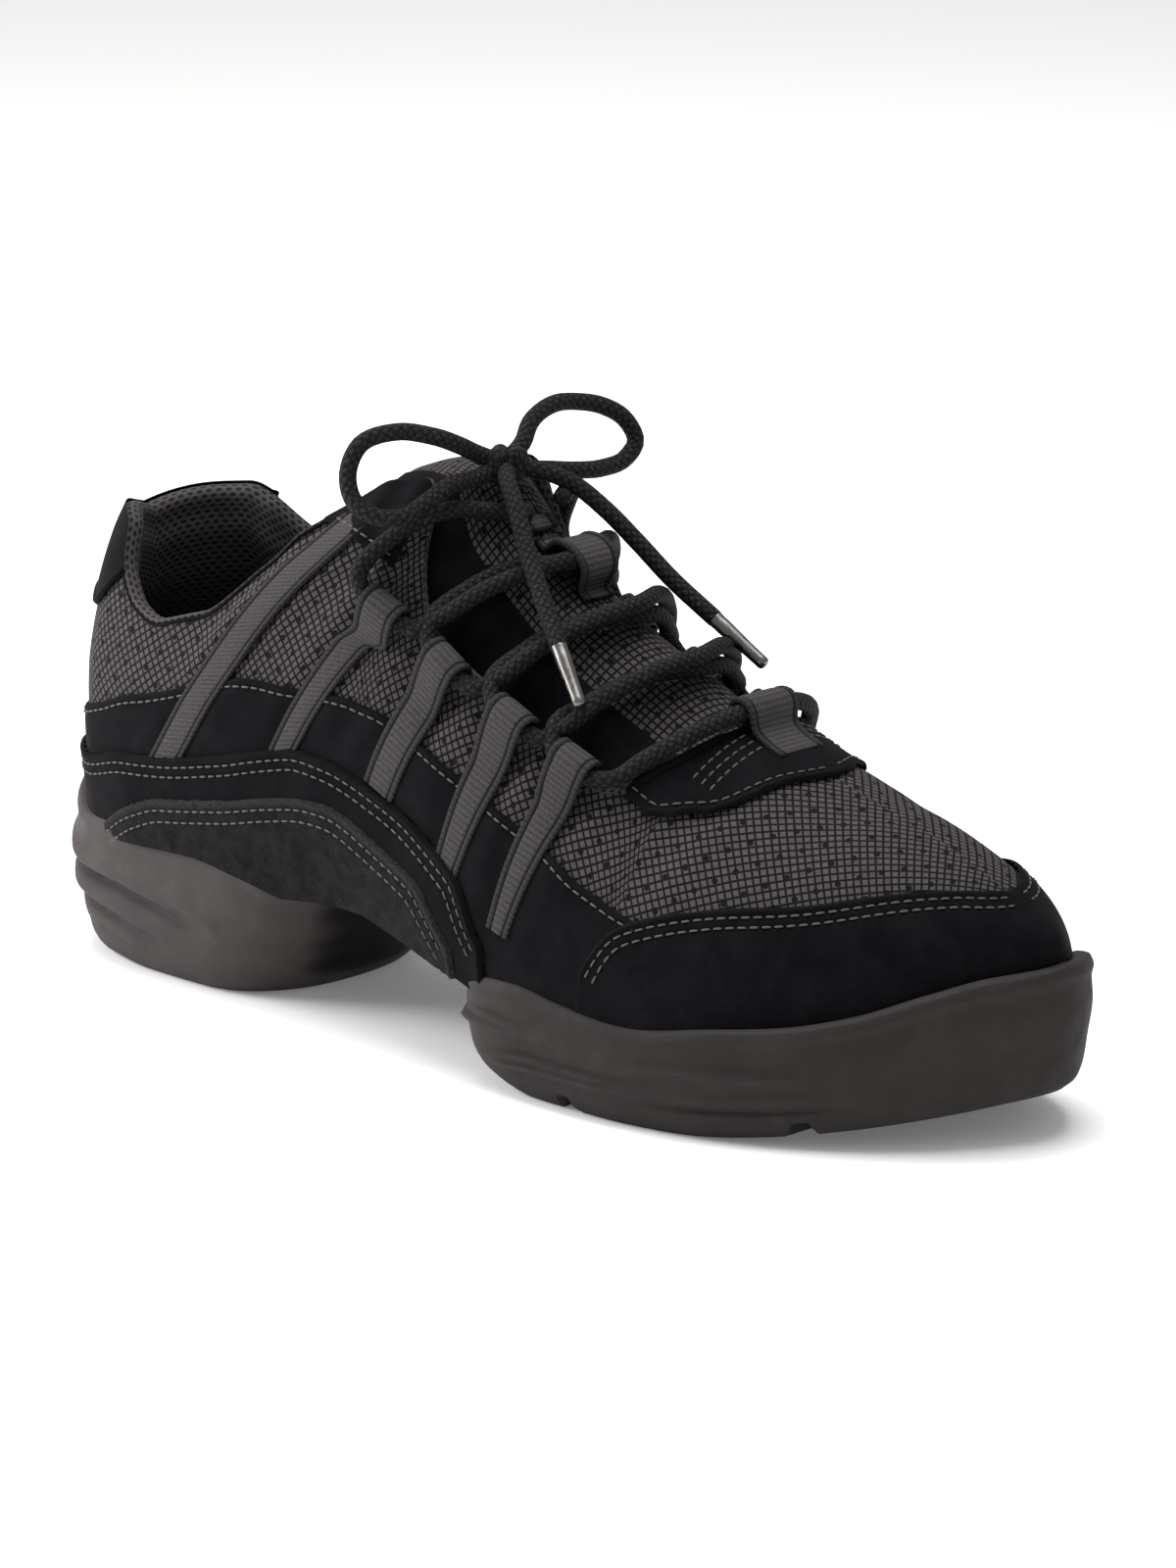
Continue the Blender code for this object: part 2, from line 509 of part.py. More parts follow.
def make_upper_cutter():
    """The room that the upper takes in the sole, with the gap around it."""
    share = stations(0.0, 1.0)
    sections = []
    for side in (-1.0, 1.0):
        part = np.linspace(0, 1, UPPER_ROWS)[None, :5]
        wall = place(share[:, None], topline(share, side)[:, None] * part, side, GAP)
        foot = wall[:, :1].copy()
        foot[:, 0, 2] = bottom_edge(share) - GAP
        wall[:, 0, 2] = bottom_edge(share) + GAP
        sections.append(np.concatenate([foot, wall], 1))
    ring = np.concatenate([sections[0], sections[1][:, ::-1]], 1)
    cutter = add_object("upper_room", ring.reshape(-1, 3),
                        grid_faces(len(share), ring.shape[1], closed=True), "sole")
    cutter.hide_render = True
    cutter.display_type = "WIRE"
    return cutter


def cut(target, cutter, operation="DIFFERENCE"):
    step = target.modifiers.new("cut", "BOOLEAN")
    step.operation = operation
    step.solver = "EXACT"
    step.object = cutter


def make_groove(number, share):
    """Cutter for one transverse groove in the forefoot tread."""
    x = share * SOLE_LENGTH - SOLE_LENGTH / 2
    middle = float(sole_middle(share)) + SIDE_STEP
    bpy.ops.mesh.primitive_cube_add(size=1, location=(x, middle, forefoot_floor(share)))
    groove = bpy.context.object
    groove.name = f"groove_{number}"
    groove.dimensions = (GROOVE_WIDTH, BALL_WIDTH * 1.2, GROOVE_DEPTH * 2)
    groove.rotation_euler = (0, 0, math.radians(8))
    groove.hide_render = True
    groove.display_type = "WIRE"
    return groove


def heel_floor(share):
    return 0.0 * share


def forefoot_floor(share):
    front = TOE_SPRING * np.clip((share - 0.76) / 0.24, 0, 1) ** 1.7
    return front + REAR_ROCKER * np.clip((0.585 - share) / 0.073, 0, 1) ** 1.6


def make_soles():
    room = make_upper_cutter()
    heel = make_pod("heel_sole", 0.0, HEEL_SOLE_END, HEEL_SIDE, heel_rim, heel_floor)
    cut(heel, room)
    ball = make_pod("forefoot_sole", FOREFOOT_SOLE_START, 1.0, FOREFOOT_SIDE, forefoot_rim, forefoot_floor)
    cut(ball, room)
    for number, share in enumerate(GROOVES, 1):
        cut(ball, make_groove(number, share))


def make_overlays():
    spare = 0.014

    def band_low(share, side):
        arch = np.where(share < 0.59, read(ARCH_TOP, 1, share) + spare, 0)
        cap = np.where(share > 0.68, read(CAP_TOP, 1, share) + spare, 0)
        return np.maximum(np.maximum(arch, cap), sole_edge(share, side))

    def arch_low(share, side):
        suede = np.where((share > 0.09) & (share < 0.545), read(SUEDE_TOP, 1, share) + spare, 0)
        return np.maximum(suede, sole_edge(share, side))

    grid = wrapped(0.0, 0.700, 3, band_low, edge(BAND_TOP))
    patch("side_band", *grid, OVERLAY_LIFT, BAND, "nubuck")
    grid = wrapped(0.0, 0.560, 3, arch_low, edge(ARCH_TOP))
    patch("arch_band", *grid, OVERLAY_LIFT, ARCH_BAND, "nubuck")
    part = np.linspace(0, 1, 3)[None, :]
    for word, side in (("outer", -1.0), ("inner", 1.0)):
        share = stations(0.115, 0.52)
        low = sole_edge(share, side)[:, None]
        up = low * (1 - part) + read(SUEDE_TOP, 1, share)[:, None] * part
        patch(f"arch_patch_{word}", np.repeat(share[:, None], 3, 1), up, side, OVERLAY_LIFT, SUEDE, "suede")
        share = stations(0.288, 0.388)
        high = topline(share, side)[:, None] - 0.015
        up = read(EYESTAY_LOW, 1, share)[:, None] * (1 - part) + high * part
        patch(f"eyestay_{word}", np.repeat(share[:, None], 3, 1), up, side, OVERLAY_LIFT, BAND, "nubuck")
    grid = wrapped(0.0, 0.040, 4, lambda share, side: 0 * share + 0.41,
                   lambda share, side: topline(share, side) - 0.02)
    patch("heel_tab", *grid, OVERLAY_LIFT, BAND, "nubuck")
    make_over_ridge("toe_cap", stations(0.680, 1.0), 6, OVERLAY_LIFT, sole_edge,
                    lambda share, side: np.where(share < 0.9525, read(CAP_TOP, 1, share), 1.0))
    make_over_ridge("saddle", stations(0.668, 0.780), 5, OVERLAY_LIFT + GAP, edge(SADDLE_LOW),
                    lambda share, side: np.where(share < 0.70, topline(share, side) - 0.015, 1.0))


def make_over_ridge(name, share, rows, lift, low_edge, high_edge):
    """Overlay that lies over both sides and joins itself along the ridge, and at the toe."""
    part = np.linspace(0, 1, rows)[None, :]
    outer, inner, faces, first = [], [], [], 0
    for side in (-1.0, 1.0):
        low = low_edge(share, side)[:, None]
        up = low * (1 - part) + high_edge(share, side)[:, None] * part
        grid = np.repeat(share[:, None], rows, 1)
        outer.append(place(grid, up, side, lift + BAND).reshape(-1, 3))
        inner.append(place(grid, up, side, lift).reshape(-1, 3))
        faces += [face if side < 0 else face[::-1] for face in grid_faces(len(share), rows, first)]
        first += len(share) * rows
    return shell(name, np.concatenate(outer), np.concatenate(inner), faces, "nubuck")


def ribbon(name, points, normals, finish):
    """Band of webbing along rows of points, half its thickness to either side."""
    half = normals * WEBBING / 2
    return shell(name, points + half, points - half, grid_faces(*points.shape[:2]), finish)


def loop_around_lace(rear, front, up_rear, up_front, along, side):
    """Fold of webbing around the lace: lead-in and ring, at a steady distance from the lace's middle."""
    bend = LACE / 2 + GAP + WEBBING / 2
    lace = place(np.array([rear, front]), np.array([up_rear, up_front]), side, LOOP_HEIGHT * LACE)
    foot = place(np.array([rear, front]), np.array([up_rear, up_front]), side)
    across = lace[1] - lace[0]
    across /= np.linalg.norm(across)
    out = (lace - foot).mean(0)
    out -= across * out.dot(across)
    out /= np.linalg.norm(out)
    onward = along - across * along.dot(across) - out * along.dot(out)
    onward /= np.linalg.norm(onward)
    folds = [(-2.1, -0.55), (-1.45, 0.10)]
    folds += [(math.cos(math.radians(angle)), math.sin(math.radians(angle)))
              for angle in (140, 100, 60, 20, -20, -60, -90)]
    return np.array([lace + bend * (step * onward + rise * out) for step, rise in folds])


def make_strap(name, row, side):
    """Strap over the side of the upper; its top folds around the lace where it has a loop."""
    rear_low, front_low, up_low, rear_high, front_high, up_rear, up_front, looped = row
    part = np.linspace(0, 1, 9)
    share = np.stack([rear_low + (rear_high - rear_low) * part,
                      front_low + (front_high - front_low) * part], 1)
    ups = np.stack([up_low + (up_rear - up_low) * part, up_low + (up_front - up_low) * part], 1)
    on_band = smooth((read(BAND_TOP, 1, share) + 0.07 - ups) / 0.055) * (BAND + OVERLAY_LIFT + GAP)
    points = place(share, ups, side, LIFT + WEBBING / 2 + on_band)
    if looped:
        top = points.mean(1)
        away = np.linalg.norm(top[-1] - top, axis=1)
        fold = loop_around_lace(rear_high, front_high, up_rear, up_front, top[-1] - top[-2], side)
        points = np.concatenate([points[away > LOOP_LEAD * LACE], fold])
    along = np.gradient(points, axis=0)
    across = points[:, 1:] - points[:, :1]
    normals = np.cross(along, np.repeat(across, 2, 1))
    normals /= np.linalg.norm(normals, axis=-1, keepdims=True)
    return ribbon(name, points, normals, "webbing")


def over_ridge(share, step, lift):
    """Points across the ridge: step is the way down from it, below zero on the outer side."""
    share, step = np.broadcast_arrays(np.asarray(share, float), np.asarray(step, float))
    return place(share, 1 - np.abs(step), np.where(step < 0, -1.0, 1.0), lift)


def make_ridge_band(name, path, half):
    """Webbing along the ridge: rows of share of the length and height, half a width to each side."""
    share, height = np.array(path).T
    steps = np.array([-half, 0.0, half])
    points = over_ridge(share[:, None], steps[None, :], height[:, None])
    along = np.gradient(points, axis=0)
    across = np.repeat(points[:, 2:] - points[:, :1], 3, 1)
    normals = np.cross(along, across)
    normals /= np.linalg.norm(normals, axis=-1, keepdims=True)
    return ribbon(name, points, normals, "webbing")


def make_webbing():
    for word, side in (("outer", -1.0), ("inner", 1.0)):
        for number, row in enumerate(STRAPS, 1):
            make_strap(f"strap_{word}_{number}", row, side)
    rest = LIFT + WEBBING / 2
    under_lace = LACE / 2 + 1.5 * GAP + WEBBING / 2
    neck, _, lace_height = LACE_ROUTE[0]
    on_saddle = rest + BAND + OVERLAY_LIFT + GAP
    path = [(0.740, on_saddle), (0.722, on_saddle), (0.712, rest + BAND + 0.6 * LACE)]
    for angle in (120, 80, 40, 0, -40, -75, -100):
        path.append((neck - under_lace * math.cos(math.radians(angle)) / SOLE_LENGTH,
                     lace_height * LACE + under_lace * math.sin(math.radians(angle))))
    make_ridge_band("throat_loop", path, 0.085)
    seat = rest - UPPER_WALL
    top = 0.35 * LACE + under_lace
    make_ridge_band("keeper_rear", [(0.444, seat), (0.450, seat + 0.0005), (0.456, seat)], 0.075)
    rise = ((-0.038, seat), (-0.029, seat), (-0.021, top - 0.0018), (-0.010, top), (0.004, top),
            (0.012, top - 0.0014), (0.020, seat), (0.028, seat))
    make_ridge_band("keeper_front", [(0.500 + step, height) for step, height in rise], 0.075)


def through(points, spacing):
    """Points at even steps along the smooth curve through hand-laid ones."""
    points = np.asarray(points, float)
    at = np.concatenate([[0], np.cumsum(np.linalg.norm(np.diff(points, axis=0), axis=1))])
    slope = np.gradient(points, at, axis=0)
    fine = np.linspace(0, at[-1], 600)
    i = np.clip(np.searchsorted(at, fine, side="right") - 1, 0, len(at) - 2)
    step = (at[i + 1] - at[i])[:, None]
    t = (fine - at[i])[:, None] / step
    line = ((2 * t ** 3 - 3 * t ** 2 + 1) * points[i] + (t ** 3 - 2 * t ** 2 + t) * step * slope[i]
            + (3 * t ** 2 - 2 * t ** 3) * points[i + 1] + (t ** 3 - t ** 2) * step * slope[i + 1])
    run = np.concatenate([[0], np.cumsum(np.linalg.norm(np.diff(line, axis=0), axis=1))])
    count = max(3, int(round(run[-1] / spacing)) + 1)
    return np.stack([np.interp(np.linspace(0, run[-1], count), run, line[:, k]) for k in range(3)], 1)


def tube(name, points, radius, sides, finish):
    """Closed round bar along a line of points."""
    along = np.gradient(points, axis=0)
    along /= np.linalg.norm(along, axis=1, keepdims=True)
    up = np.array([0.0, 0.0, 1.0])
    rings = []
    for point, way in zip(points, along):
        up = up - way * np.dot(up, way)
        up /= np.linalg.norm(up)
        across = np.cross(way, up)
        angles = np.arange(sides) * 2 * math.pi / sides
        rings.append(point + radius * (np.cos(angles)[:, None] * up + np.sin(angles)[:, None] * across))
    faces = grid_faces(len(points), sides, closed=True)
    last = (len(points) - 1) * sides
    faces += [tuple(range(sides))[::-1], tuple(range(last, last + sides))]
    return add_object(name, np.concatenate(rings), faces, finish)


def make_laces():
    """The laced run in two halves, joined where they cross, then the free cords of the bow."""
    halves = []
    for name, way in (("lace_crossings", -1.0), ("lace_other_half", 1.0)):
        share, step, height = np.array(LACE_ROUTE).T
        halves.append(tube(name, over_ridge(share, step * way, height * LACE), LACE / 2, 6, "lace"))
    cut(halves[0], halves[1], "UNION")
    halves[1].hide_render = True
    halves[1].display_type = "WIRE"
    for name, route in (("bow_loop_outer", BOW_LOOP_OUTER), ("bow_loop_inner", BOW_LOOP_INNER),
                        ("lace_end_outer", LACE_END_OUTER), ("lace_end_inner", LACE_END_INNER)):
        make_cord(name, through(route, LACE * 2))
    make_knot()
    for name, route in (("tip_outer", LACE_END_OUTER), ("tip_inner", LACE_END_INNER)):
        line = np.array(route[-2:])
        way = (line[1] - line[0]) / np.linalg.norm(line[1] - line[0])
        start = line[1] + way * GAP
        tube(name, np.array([start, start + way * TIP_LENGTH]), TIP_WIDTH / 2, 8, "tip")


def make_cord(name, points):
    data = bpy.data.curves.new(name, "CURVE")
    data.dimensions = "3D"
    data.bevel_depth = LACE / 2
    data.bevel_resolution = 2
    data.use_fill_caps = True
    line = data.splines.new("POLY")
    line.points.add(len(points) - 1)
    for spot, point in zip(line.points, points):
        spot.co = (*point, 1.0)
    made = bpy.data.objects.new(name, data)
    made.data.materials.append(material("lace"))
    bpy.context.collection.objects.link(made)


def make_knot():
    """Rounded block where the bow is tied."""
    bpy.ops.mesh.primitive_uv_sphere_add(segments=12, ring_count=7, radius=KNOT_SIZE / 2, location=KNOT_PLACE)
    knot = bpy.context.object
    knot.name = "bow_knot"
    knot.scale = (0.9, 1.0, 0.85)
    knot.data.materials.append(material("lace"))


def main():
    for old in list(bpy.data.objects):
        bpy.data.objects.remove(old, do_unlink=True)
    make_upper()
    make_insole()
    make_tongue()
    make_soles()
    make_overlays()
    make_webbing()
    make_laces()


main()
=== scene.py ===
"""Low dance sneaker for the right foot, dressed over its solids: mesh cloth, nubuck, suede, tape, braid
and moulded rubber. Lengths are metres, +X runs to the toe, +Y to the inner side of the foot, +Z up.

Every surface is laid on one closed form over the last. A place on it is a share of the length, a share
of the way up from the sole to the ridge of the instep, a side, and a height over the form.
"""
import math

import bmesh
import bpy
import numpy as np
from mathutils import Matrix


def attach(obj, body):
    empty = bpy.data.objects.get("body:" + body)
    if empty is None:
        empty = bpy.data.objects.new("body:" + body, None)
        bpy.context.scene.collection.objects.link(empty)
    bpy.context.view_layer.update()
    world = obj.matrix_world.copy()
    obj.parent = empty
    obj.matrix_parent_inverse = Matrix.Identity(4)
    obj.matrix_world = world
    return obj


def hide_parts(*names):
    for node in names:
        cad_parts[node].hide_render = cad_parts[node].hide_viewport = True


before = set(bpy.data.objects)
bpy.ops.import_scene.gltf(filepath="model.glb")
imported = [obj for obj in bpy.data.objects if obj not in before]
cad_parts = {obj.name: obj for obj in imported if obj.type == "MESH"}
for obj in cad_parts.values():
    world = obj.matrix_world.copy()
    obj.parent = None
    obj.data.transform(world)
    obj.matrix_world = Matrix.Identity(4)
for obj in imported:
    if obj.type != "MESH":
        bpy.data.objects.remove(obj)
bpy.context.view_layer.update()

bl_info = {
    "name": "Dance sneaker",
    "version": (1, 0, 0),
    "blender": (4, 5, 0),
    "location": "View3D > Sidebar > Sneaker",
    "description": "Builds a split-sole dance sneaker in cloth, nubuck, suede and rubber",
    "category": "Add Mesh",
}

MM = 0.001
SIDES = (-1.0, 1.0)        # outer and inner side
# Main sizes, as the part has them
SOLE_LENGTH = 0.272
BALL_WIDTH = 0.092
HEEL_WIDTH = 0.071
INSTEP_HEIGHT = 0.1285
HEEL_HEIGHT = 0.0995
SEAT_HEIGHT = 0.027
HEEL_LEAN = 0.010
TOE_MARGIN = 0.0045
SOLE_MARGIN = 0.0032
UPPER_WALL = 0.0025
COLLAR_PAD = 0.0045
BOARD = 0.002
INSOLE_THICKNESS = 0.0035
LACE = 0.0045
LACE_SEEN = 0.0040
HEEL_SOLE_RIM = 0.032
FOREFOOT_SOLE_RIM = 0.026
TOE_SPRING = 0.010
REAR_ROCKER = 0.0115
RIB = 0.0022
HEEL_SOLE_END = 0.305
FOREFOOT_SOLE_START = 0.512
SOLE_CORNER = 0.016
GROOVE_WIDTH = 0.004
GROOVE_DEPTH = 0.0035
TIP_LENGTH = 0.015
TIP_WIDTH = 0.0046
END_WIDTH = 0.014          # half width of the sole under which walls and bulges fade, at heel and toe
WAVE_PRESS = 1.9           # depth of the waves in the pods, as a multiple of the tables' millimetres
HEEL_FRONT_CORNER = 0.025
HEEL_FRONT_SLANT = 0.16    # how far the heel pod's front reaches forward at its rim, as a share
WEAVE_TURN = 41            # degrees between the mesh cloth's threads and the shoe's length
STRAP_LIFT = 1.0 * MM
INSOLE_UP = 0.03           # way up at which the lining meets the insole
OVER_UNDER = 0.40          # rise and drop of the lace where it crosses itself, in lace diameters
EDGE_ROWS = np.array([0, 0.15, 0.4, 0.75, 1.2, 1.7, 2.3, 3.0]) * MM   # rows beside an overlay's edge
DENT_DEPTH = 0.25 * MM
OVERLAY_SINK = 0.15 * MM
ENDS = 9                   # points on the line that closes an overlay's end
# The camera of the photo: degrees, pixels of focal length, metres
CAMERA_TURNS = (41.3954, 14.65, 1.0403)
FOCAL_PIXELS = 9005.5
PHOTO_WIDTH = 1600
FILM_WIDTH = 36.0
CAMERA_AIM = (-0.02346, 0.03890, 0.045)
CAMERA_DISTANCE = 2.0
FLOOR_HALF = 6.0

# Outline of the sole: share of the length, middle as a share of half the ball width,
# half width as a share of the half width that heel or ball give there
PLAN = np.array([
    (0.000, 0.000, 0.00), (0.035, 0.000, 0.635), (0.080, 0.000, 0.875), (0.150, -0.011, 0.985),
    (0.240, -0.022, 1.00), (0.320, -0.043, 0.970), (0.400, -0.076, 0.900), (0.480, -0.120, 0.860),
    (0.560, -0.130, 0.875), (0.640, -0.087, 0.945), (0.720, -0.033, 1.00), (0.780, 0.007, 0.980),
    (0.840, 0.065, 0.900), (0.900, 0.152, 0.760), (0.950, 0.228, 0.555), (0.985, 0.283, 0.295),
    (1.000, 0.304, 0.00)])
# Sections of the upper: share of the length, bulge, shoulder, ridge's side step, bottom edge as a share
# of the seat height, then ridge, outer topline and inner topline as shares of heel or instep height
SECTIONS = np.array([
    (0.000, 0.00, 1.00, 0.000, 1.00, 1.256, 0.995, 0.995),
    (0.025, 0.06, 1.02, 0.000, 1.00, 1.252, 1.027, 1.027),
    (0.050, 0.11, 1.02, 0.000, 1.00, 1.190, 1.002, 1.024),
    (0.080, 0.14, 1.02, 0.000, 1.00, 1.100, 0.886, 0.985),
    (0.115, 0.14, 1.03, 0.000, 1.00, 1.035, 0.800, 0.900),
    (0.155, 0.14, 1.08, 0.000, 0.98, 0.982, 0.758, 0.804),
    (0.200, 0.14, 1.12, 0.000, 0.98, 0.962, 0.760, 0.772),
    (0.250, 0.14, 1.15, 0.000, 0.98, 0.972, 0.840, 0.840),
    (0.300, 0.15, 1.12, 0.000, 1.02, 0.992, 0.922, 0.922),
    (0.345, 0.16, 1.05, 0.022, 1.07, 1.004, 0.955, 0.955),
    (0.370, 0.17, 1.00, 0.033, 1.09, 1.005, 0.960, 0.960),
    (0.390, 0.17, 0.93, 0.043, 1.10, 1.000, 0.935, 0.935),
    (0.410, 0.17, 0.88, 0.054, 1.10, 0.970, 0.833, 0.833),
    (0.440, 0.16, 0.82, 0.065, 1.05, 0.915, 0.743, 0.743),
    (0.520, 0.14, 0.75, 0.087, 0.88, 0.800, 0.646, 0.646),
    (0.600, 0.09, 0.72, 0.130, 0.70, 0.712, 0.568, 0.568),
    (0.655, 0.06, 0.72, 0.163, 0.62, 0.655, 0.521, 0.521),
    (0.680, 0.05, 0.72, 0.174, 0.59, 0.630, 0.568, 0.568),
    (0.700, 0.04, 0.72, 0.178, 0.57, 0.605, 0.605, 0.605),
    (0.780, 0.03, 0.74, 0.207, 0.54, 0.541, 0.541, 0.541),
    (0.870, 0.03, 0.77, 0.239, 0.61, 0.482, 0.482, 0.482),
    (0.940, 0.02, 0.82, 0.272, 0.74, 0.420, 0.420, 0.420),
    (0.975, 0.01, 0.88, 0.293, 0.83, 0.373, 0.373, 0.373),
    (1.000, 0.00, 0.90, 0.304, 0.93, 0.335, 0.335, 0.335)])
# Back curve of the heel: share of the heel height, share of the lean
HEEL_BACK = np.array([
    (0.20, 0.60), (0.43, 0.35), (0.66, 0.25), (0.82, 0.45), (0.965, 0.80), (1.065, 1.20), (1.27, 1.80)])
# Rims of the two pods: share of the length, share of the pod's rim height
HEEL_RIM = np.array([(0.00, 1.24), (0.02, 1.14), (0.045, 1.06), (0.075, 1.03), (0.15, 1.07), (0.21, 1.09),
                     (0.27, 1.02), (0.31, 0.95)])
FOREFOOT_RIM = np.array([
    (0.50, 0.86), (0.56, 0.92), (0.61, 0.95), (0.66, 0.88), (0.73, 0.82), (0.80, 0.92), (0.86, 1.00),
    (0.905, 1.12), (0.945, 1.30), (0.975, 1.42), (1.00, 1.48)])
# Edges on the upper: share of the length, share of the way up
BAND_TOP = np.array([
    (0.00, 0.21), (0.03, 0.225), (0.09, 0.30), (0.15, 0.365), (0.25, 0.40), (0.34, 0.36), (0.39, 0.355),
    (0.44, 0.38), (0.53, 0.395), (0.62, 0.385), (0.66, 0.36), (0.72, 0.35)])
ARCH_TOP = np.array([
    (0.00, 0.15), (0.06, 0.175), (0.155, 0.242), (0.33, 0.26), (0.40, 0.242), (0.47, 0.25), (0.54, 0.22),
    (0.565, 0.14), (0.60, 0.05)])
SUEDE_TOP = np.array([
    (0.09, 0.06), (0.18, 0.163), (0.34, 0.18), (0.42, 0.165), (0.49, 0.155), (0.54, 0.06)])
CAP_TOP = np.array([
    (0.680, 0.18), (0.690, 0.25), (0.700, 0.30), (0.72, 0.35), (0.78, 0.453), (0.85, 0.55), (0.91, 0.72),
    (0.933, 0.82), (0.947, 0.91), (0.953, 1.00)])
SADDLE_LOW = np.array([
    (0.66, 0.575), (0.688, 0.573), (0.72, 0.633), (0.745, 0.698), (0.764, 0.845), (0.775, 0.93),
    (0.780, 1.00)])
TONGUE_LOW = np.array([
    (0.30, 0.86), (0.34, 0.78), (0.385, 0.68), (0.44, 0.50), (0.52, 0.48), (0.60, 0.47), (0.66, 0.49),
    (0.70, 0.58), (0.74, 0.66)])
EYESTAY_LOW = np.array([
    (0.270, 0.700), (0.288, 0.722), (0.310, 0.690), (0.340, 0.645), (0.370, 0.612), (0.390, 0.592)])
# Where overlays start and end, as shares of the length
BAND_END = 0.724
ARCH_END = 0.575
PATCH = (0.095, 0.538)
EYESTAY = (0.288, 0.388)
TAB_END = 0.082
CAP_START = 0.680
SADDLE = (0.668, 0.782)
THROAT_END = 0.70
TONGUE = (0.300, 0.735)
# Straps: share of the length of rear and front edge and way up at the bottom, the same at the top with
# one way up for each edge, and whether the strap ends in a loop
STRAPS = (
    (0.173, 0.217, 0.275, 0.272, 0.320, 0.612, 0.588, False),
    (0.314, 0.350, 0.285, 0.383, 0.423, 0.535, 0.535, True),
    (0.424, 0.461, 0.290, 0.456, 0.496, 0.548, 0.548, True),
    (0.514, 0.546, 0.265, 0.533, 0.575, 0.560, 0.560, True),
    (0.577, 0.603, 0.165, 0.602, 0.642, 0.568, 0.568, True))
# Side of a pod from the floor up: share of the height, inset as a share of the rib depth
HEEL_SIDE = np.array([(0.00, 3.0), (0.04, 2.1), (0.13, 1.3), (0.27, 0.75), (0.45, 0.3), (0.69, 0.0),
                      (0.82, 0.05), (0.88, 0.09), (0.95, 0.0), (1.00, 0.20)])
FOREFOOT_SIDE = np.array([(0.00, 1.9), (0.07, 1.0), (0.20, 0.55), (0.40, 0.3), (0.68, 0.0), (0.80, 0.09),
                          (0.86, 0.13), (0.94, 0.0), (1.00, 0.22)])
# Waves in the pods' sides: share of the length, share of the height, depth of the groove in
# millimetres, where a ridge is below zero
HEEL_WAVES = (
    ((0.00, 0.62, 0.6), (0.03, 0.62, 0.9), (0.06, 0.61, 1.4), (0.12, 0.56, 1.3), (0.16, 0.49, 1.2),
     (0.20, 0.42, 0.7), (0.235, 0.37, 0.0)),
    ((0.00, 0.40, 0.5), (0.03, 0.40, 0.8), (0.06, 0.39, 1.2), (0.11, 0.34, 1.1), (0.15, 0.27, 0.7),
     (0.19, 0.21, 0.0)),
    ((0.04, 0.20, 0.0), (0.09, 0.19, 0.6), (0.14, 0.13, 0.4), (0.17, 0.09, 0.0)),
    ((0.165, 0.56, 0.0), (0.19, 0.50, 0.7), (0.215, 0.44, 0.5), (0.235, 0.40, 0.0)))
FOREFOOT_WAVES = (
    ((0.532, 0.54, 0.0), (0.552, 0.56, -0.7), (0.58, 0.57, -0.9), (0.62, 0.58, -0.5), (0.65, 0.60, 0.0)),
    ((0.572, 0.20, 0.0), (0.595, 0.26, -0.7), (0.62, 0.30, -0.9), (0.68, 0.34, -0.8), (0.74, 0.37, -0.5),
     (0.775, 0.38, 0.0)),
    ((0.725, 0.62, 0.0), (0.76, 0.62, -0.5), (0.83, 0.60, -0.5), (0.88, 0.58, 0.0)),
    ((0.74, 0.30, 0.0), (0.79, 0.28, 0.6), (0.87, 0.27, 0.4), (0.905, 0.26, 0.0)))
# Cross grooves under the forefoot, as shares of the length
GROOVES = (0.662, 0.870)
# Soft creases of the upper, alike on both sides: share of the length, way up, angle in degrees, half
# length and half width in millimetres, height in millimetres, where a trough is below zero
CREASES = (
    (0.235, 0.60, 32, 17, 4.0, -0.7), (0.185, 0.56, 12, 14, 3.5, 0.5), (0.100, 0.58, -20, 12, 4.0, -0.5),
    (0.715, 0.52, 62, 13, 3.5, -0.45), (0.745, 0.56, 66, 12, 3.5, 0.35), (0.820, 0.80, 84, 12, 4.5, -0.3),
    (0.450, 0.20, 20, 16, 4.5, -0.5))
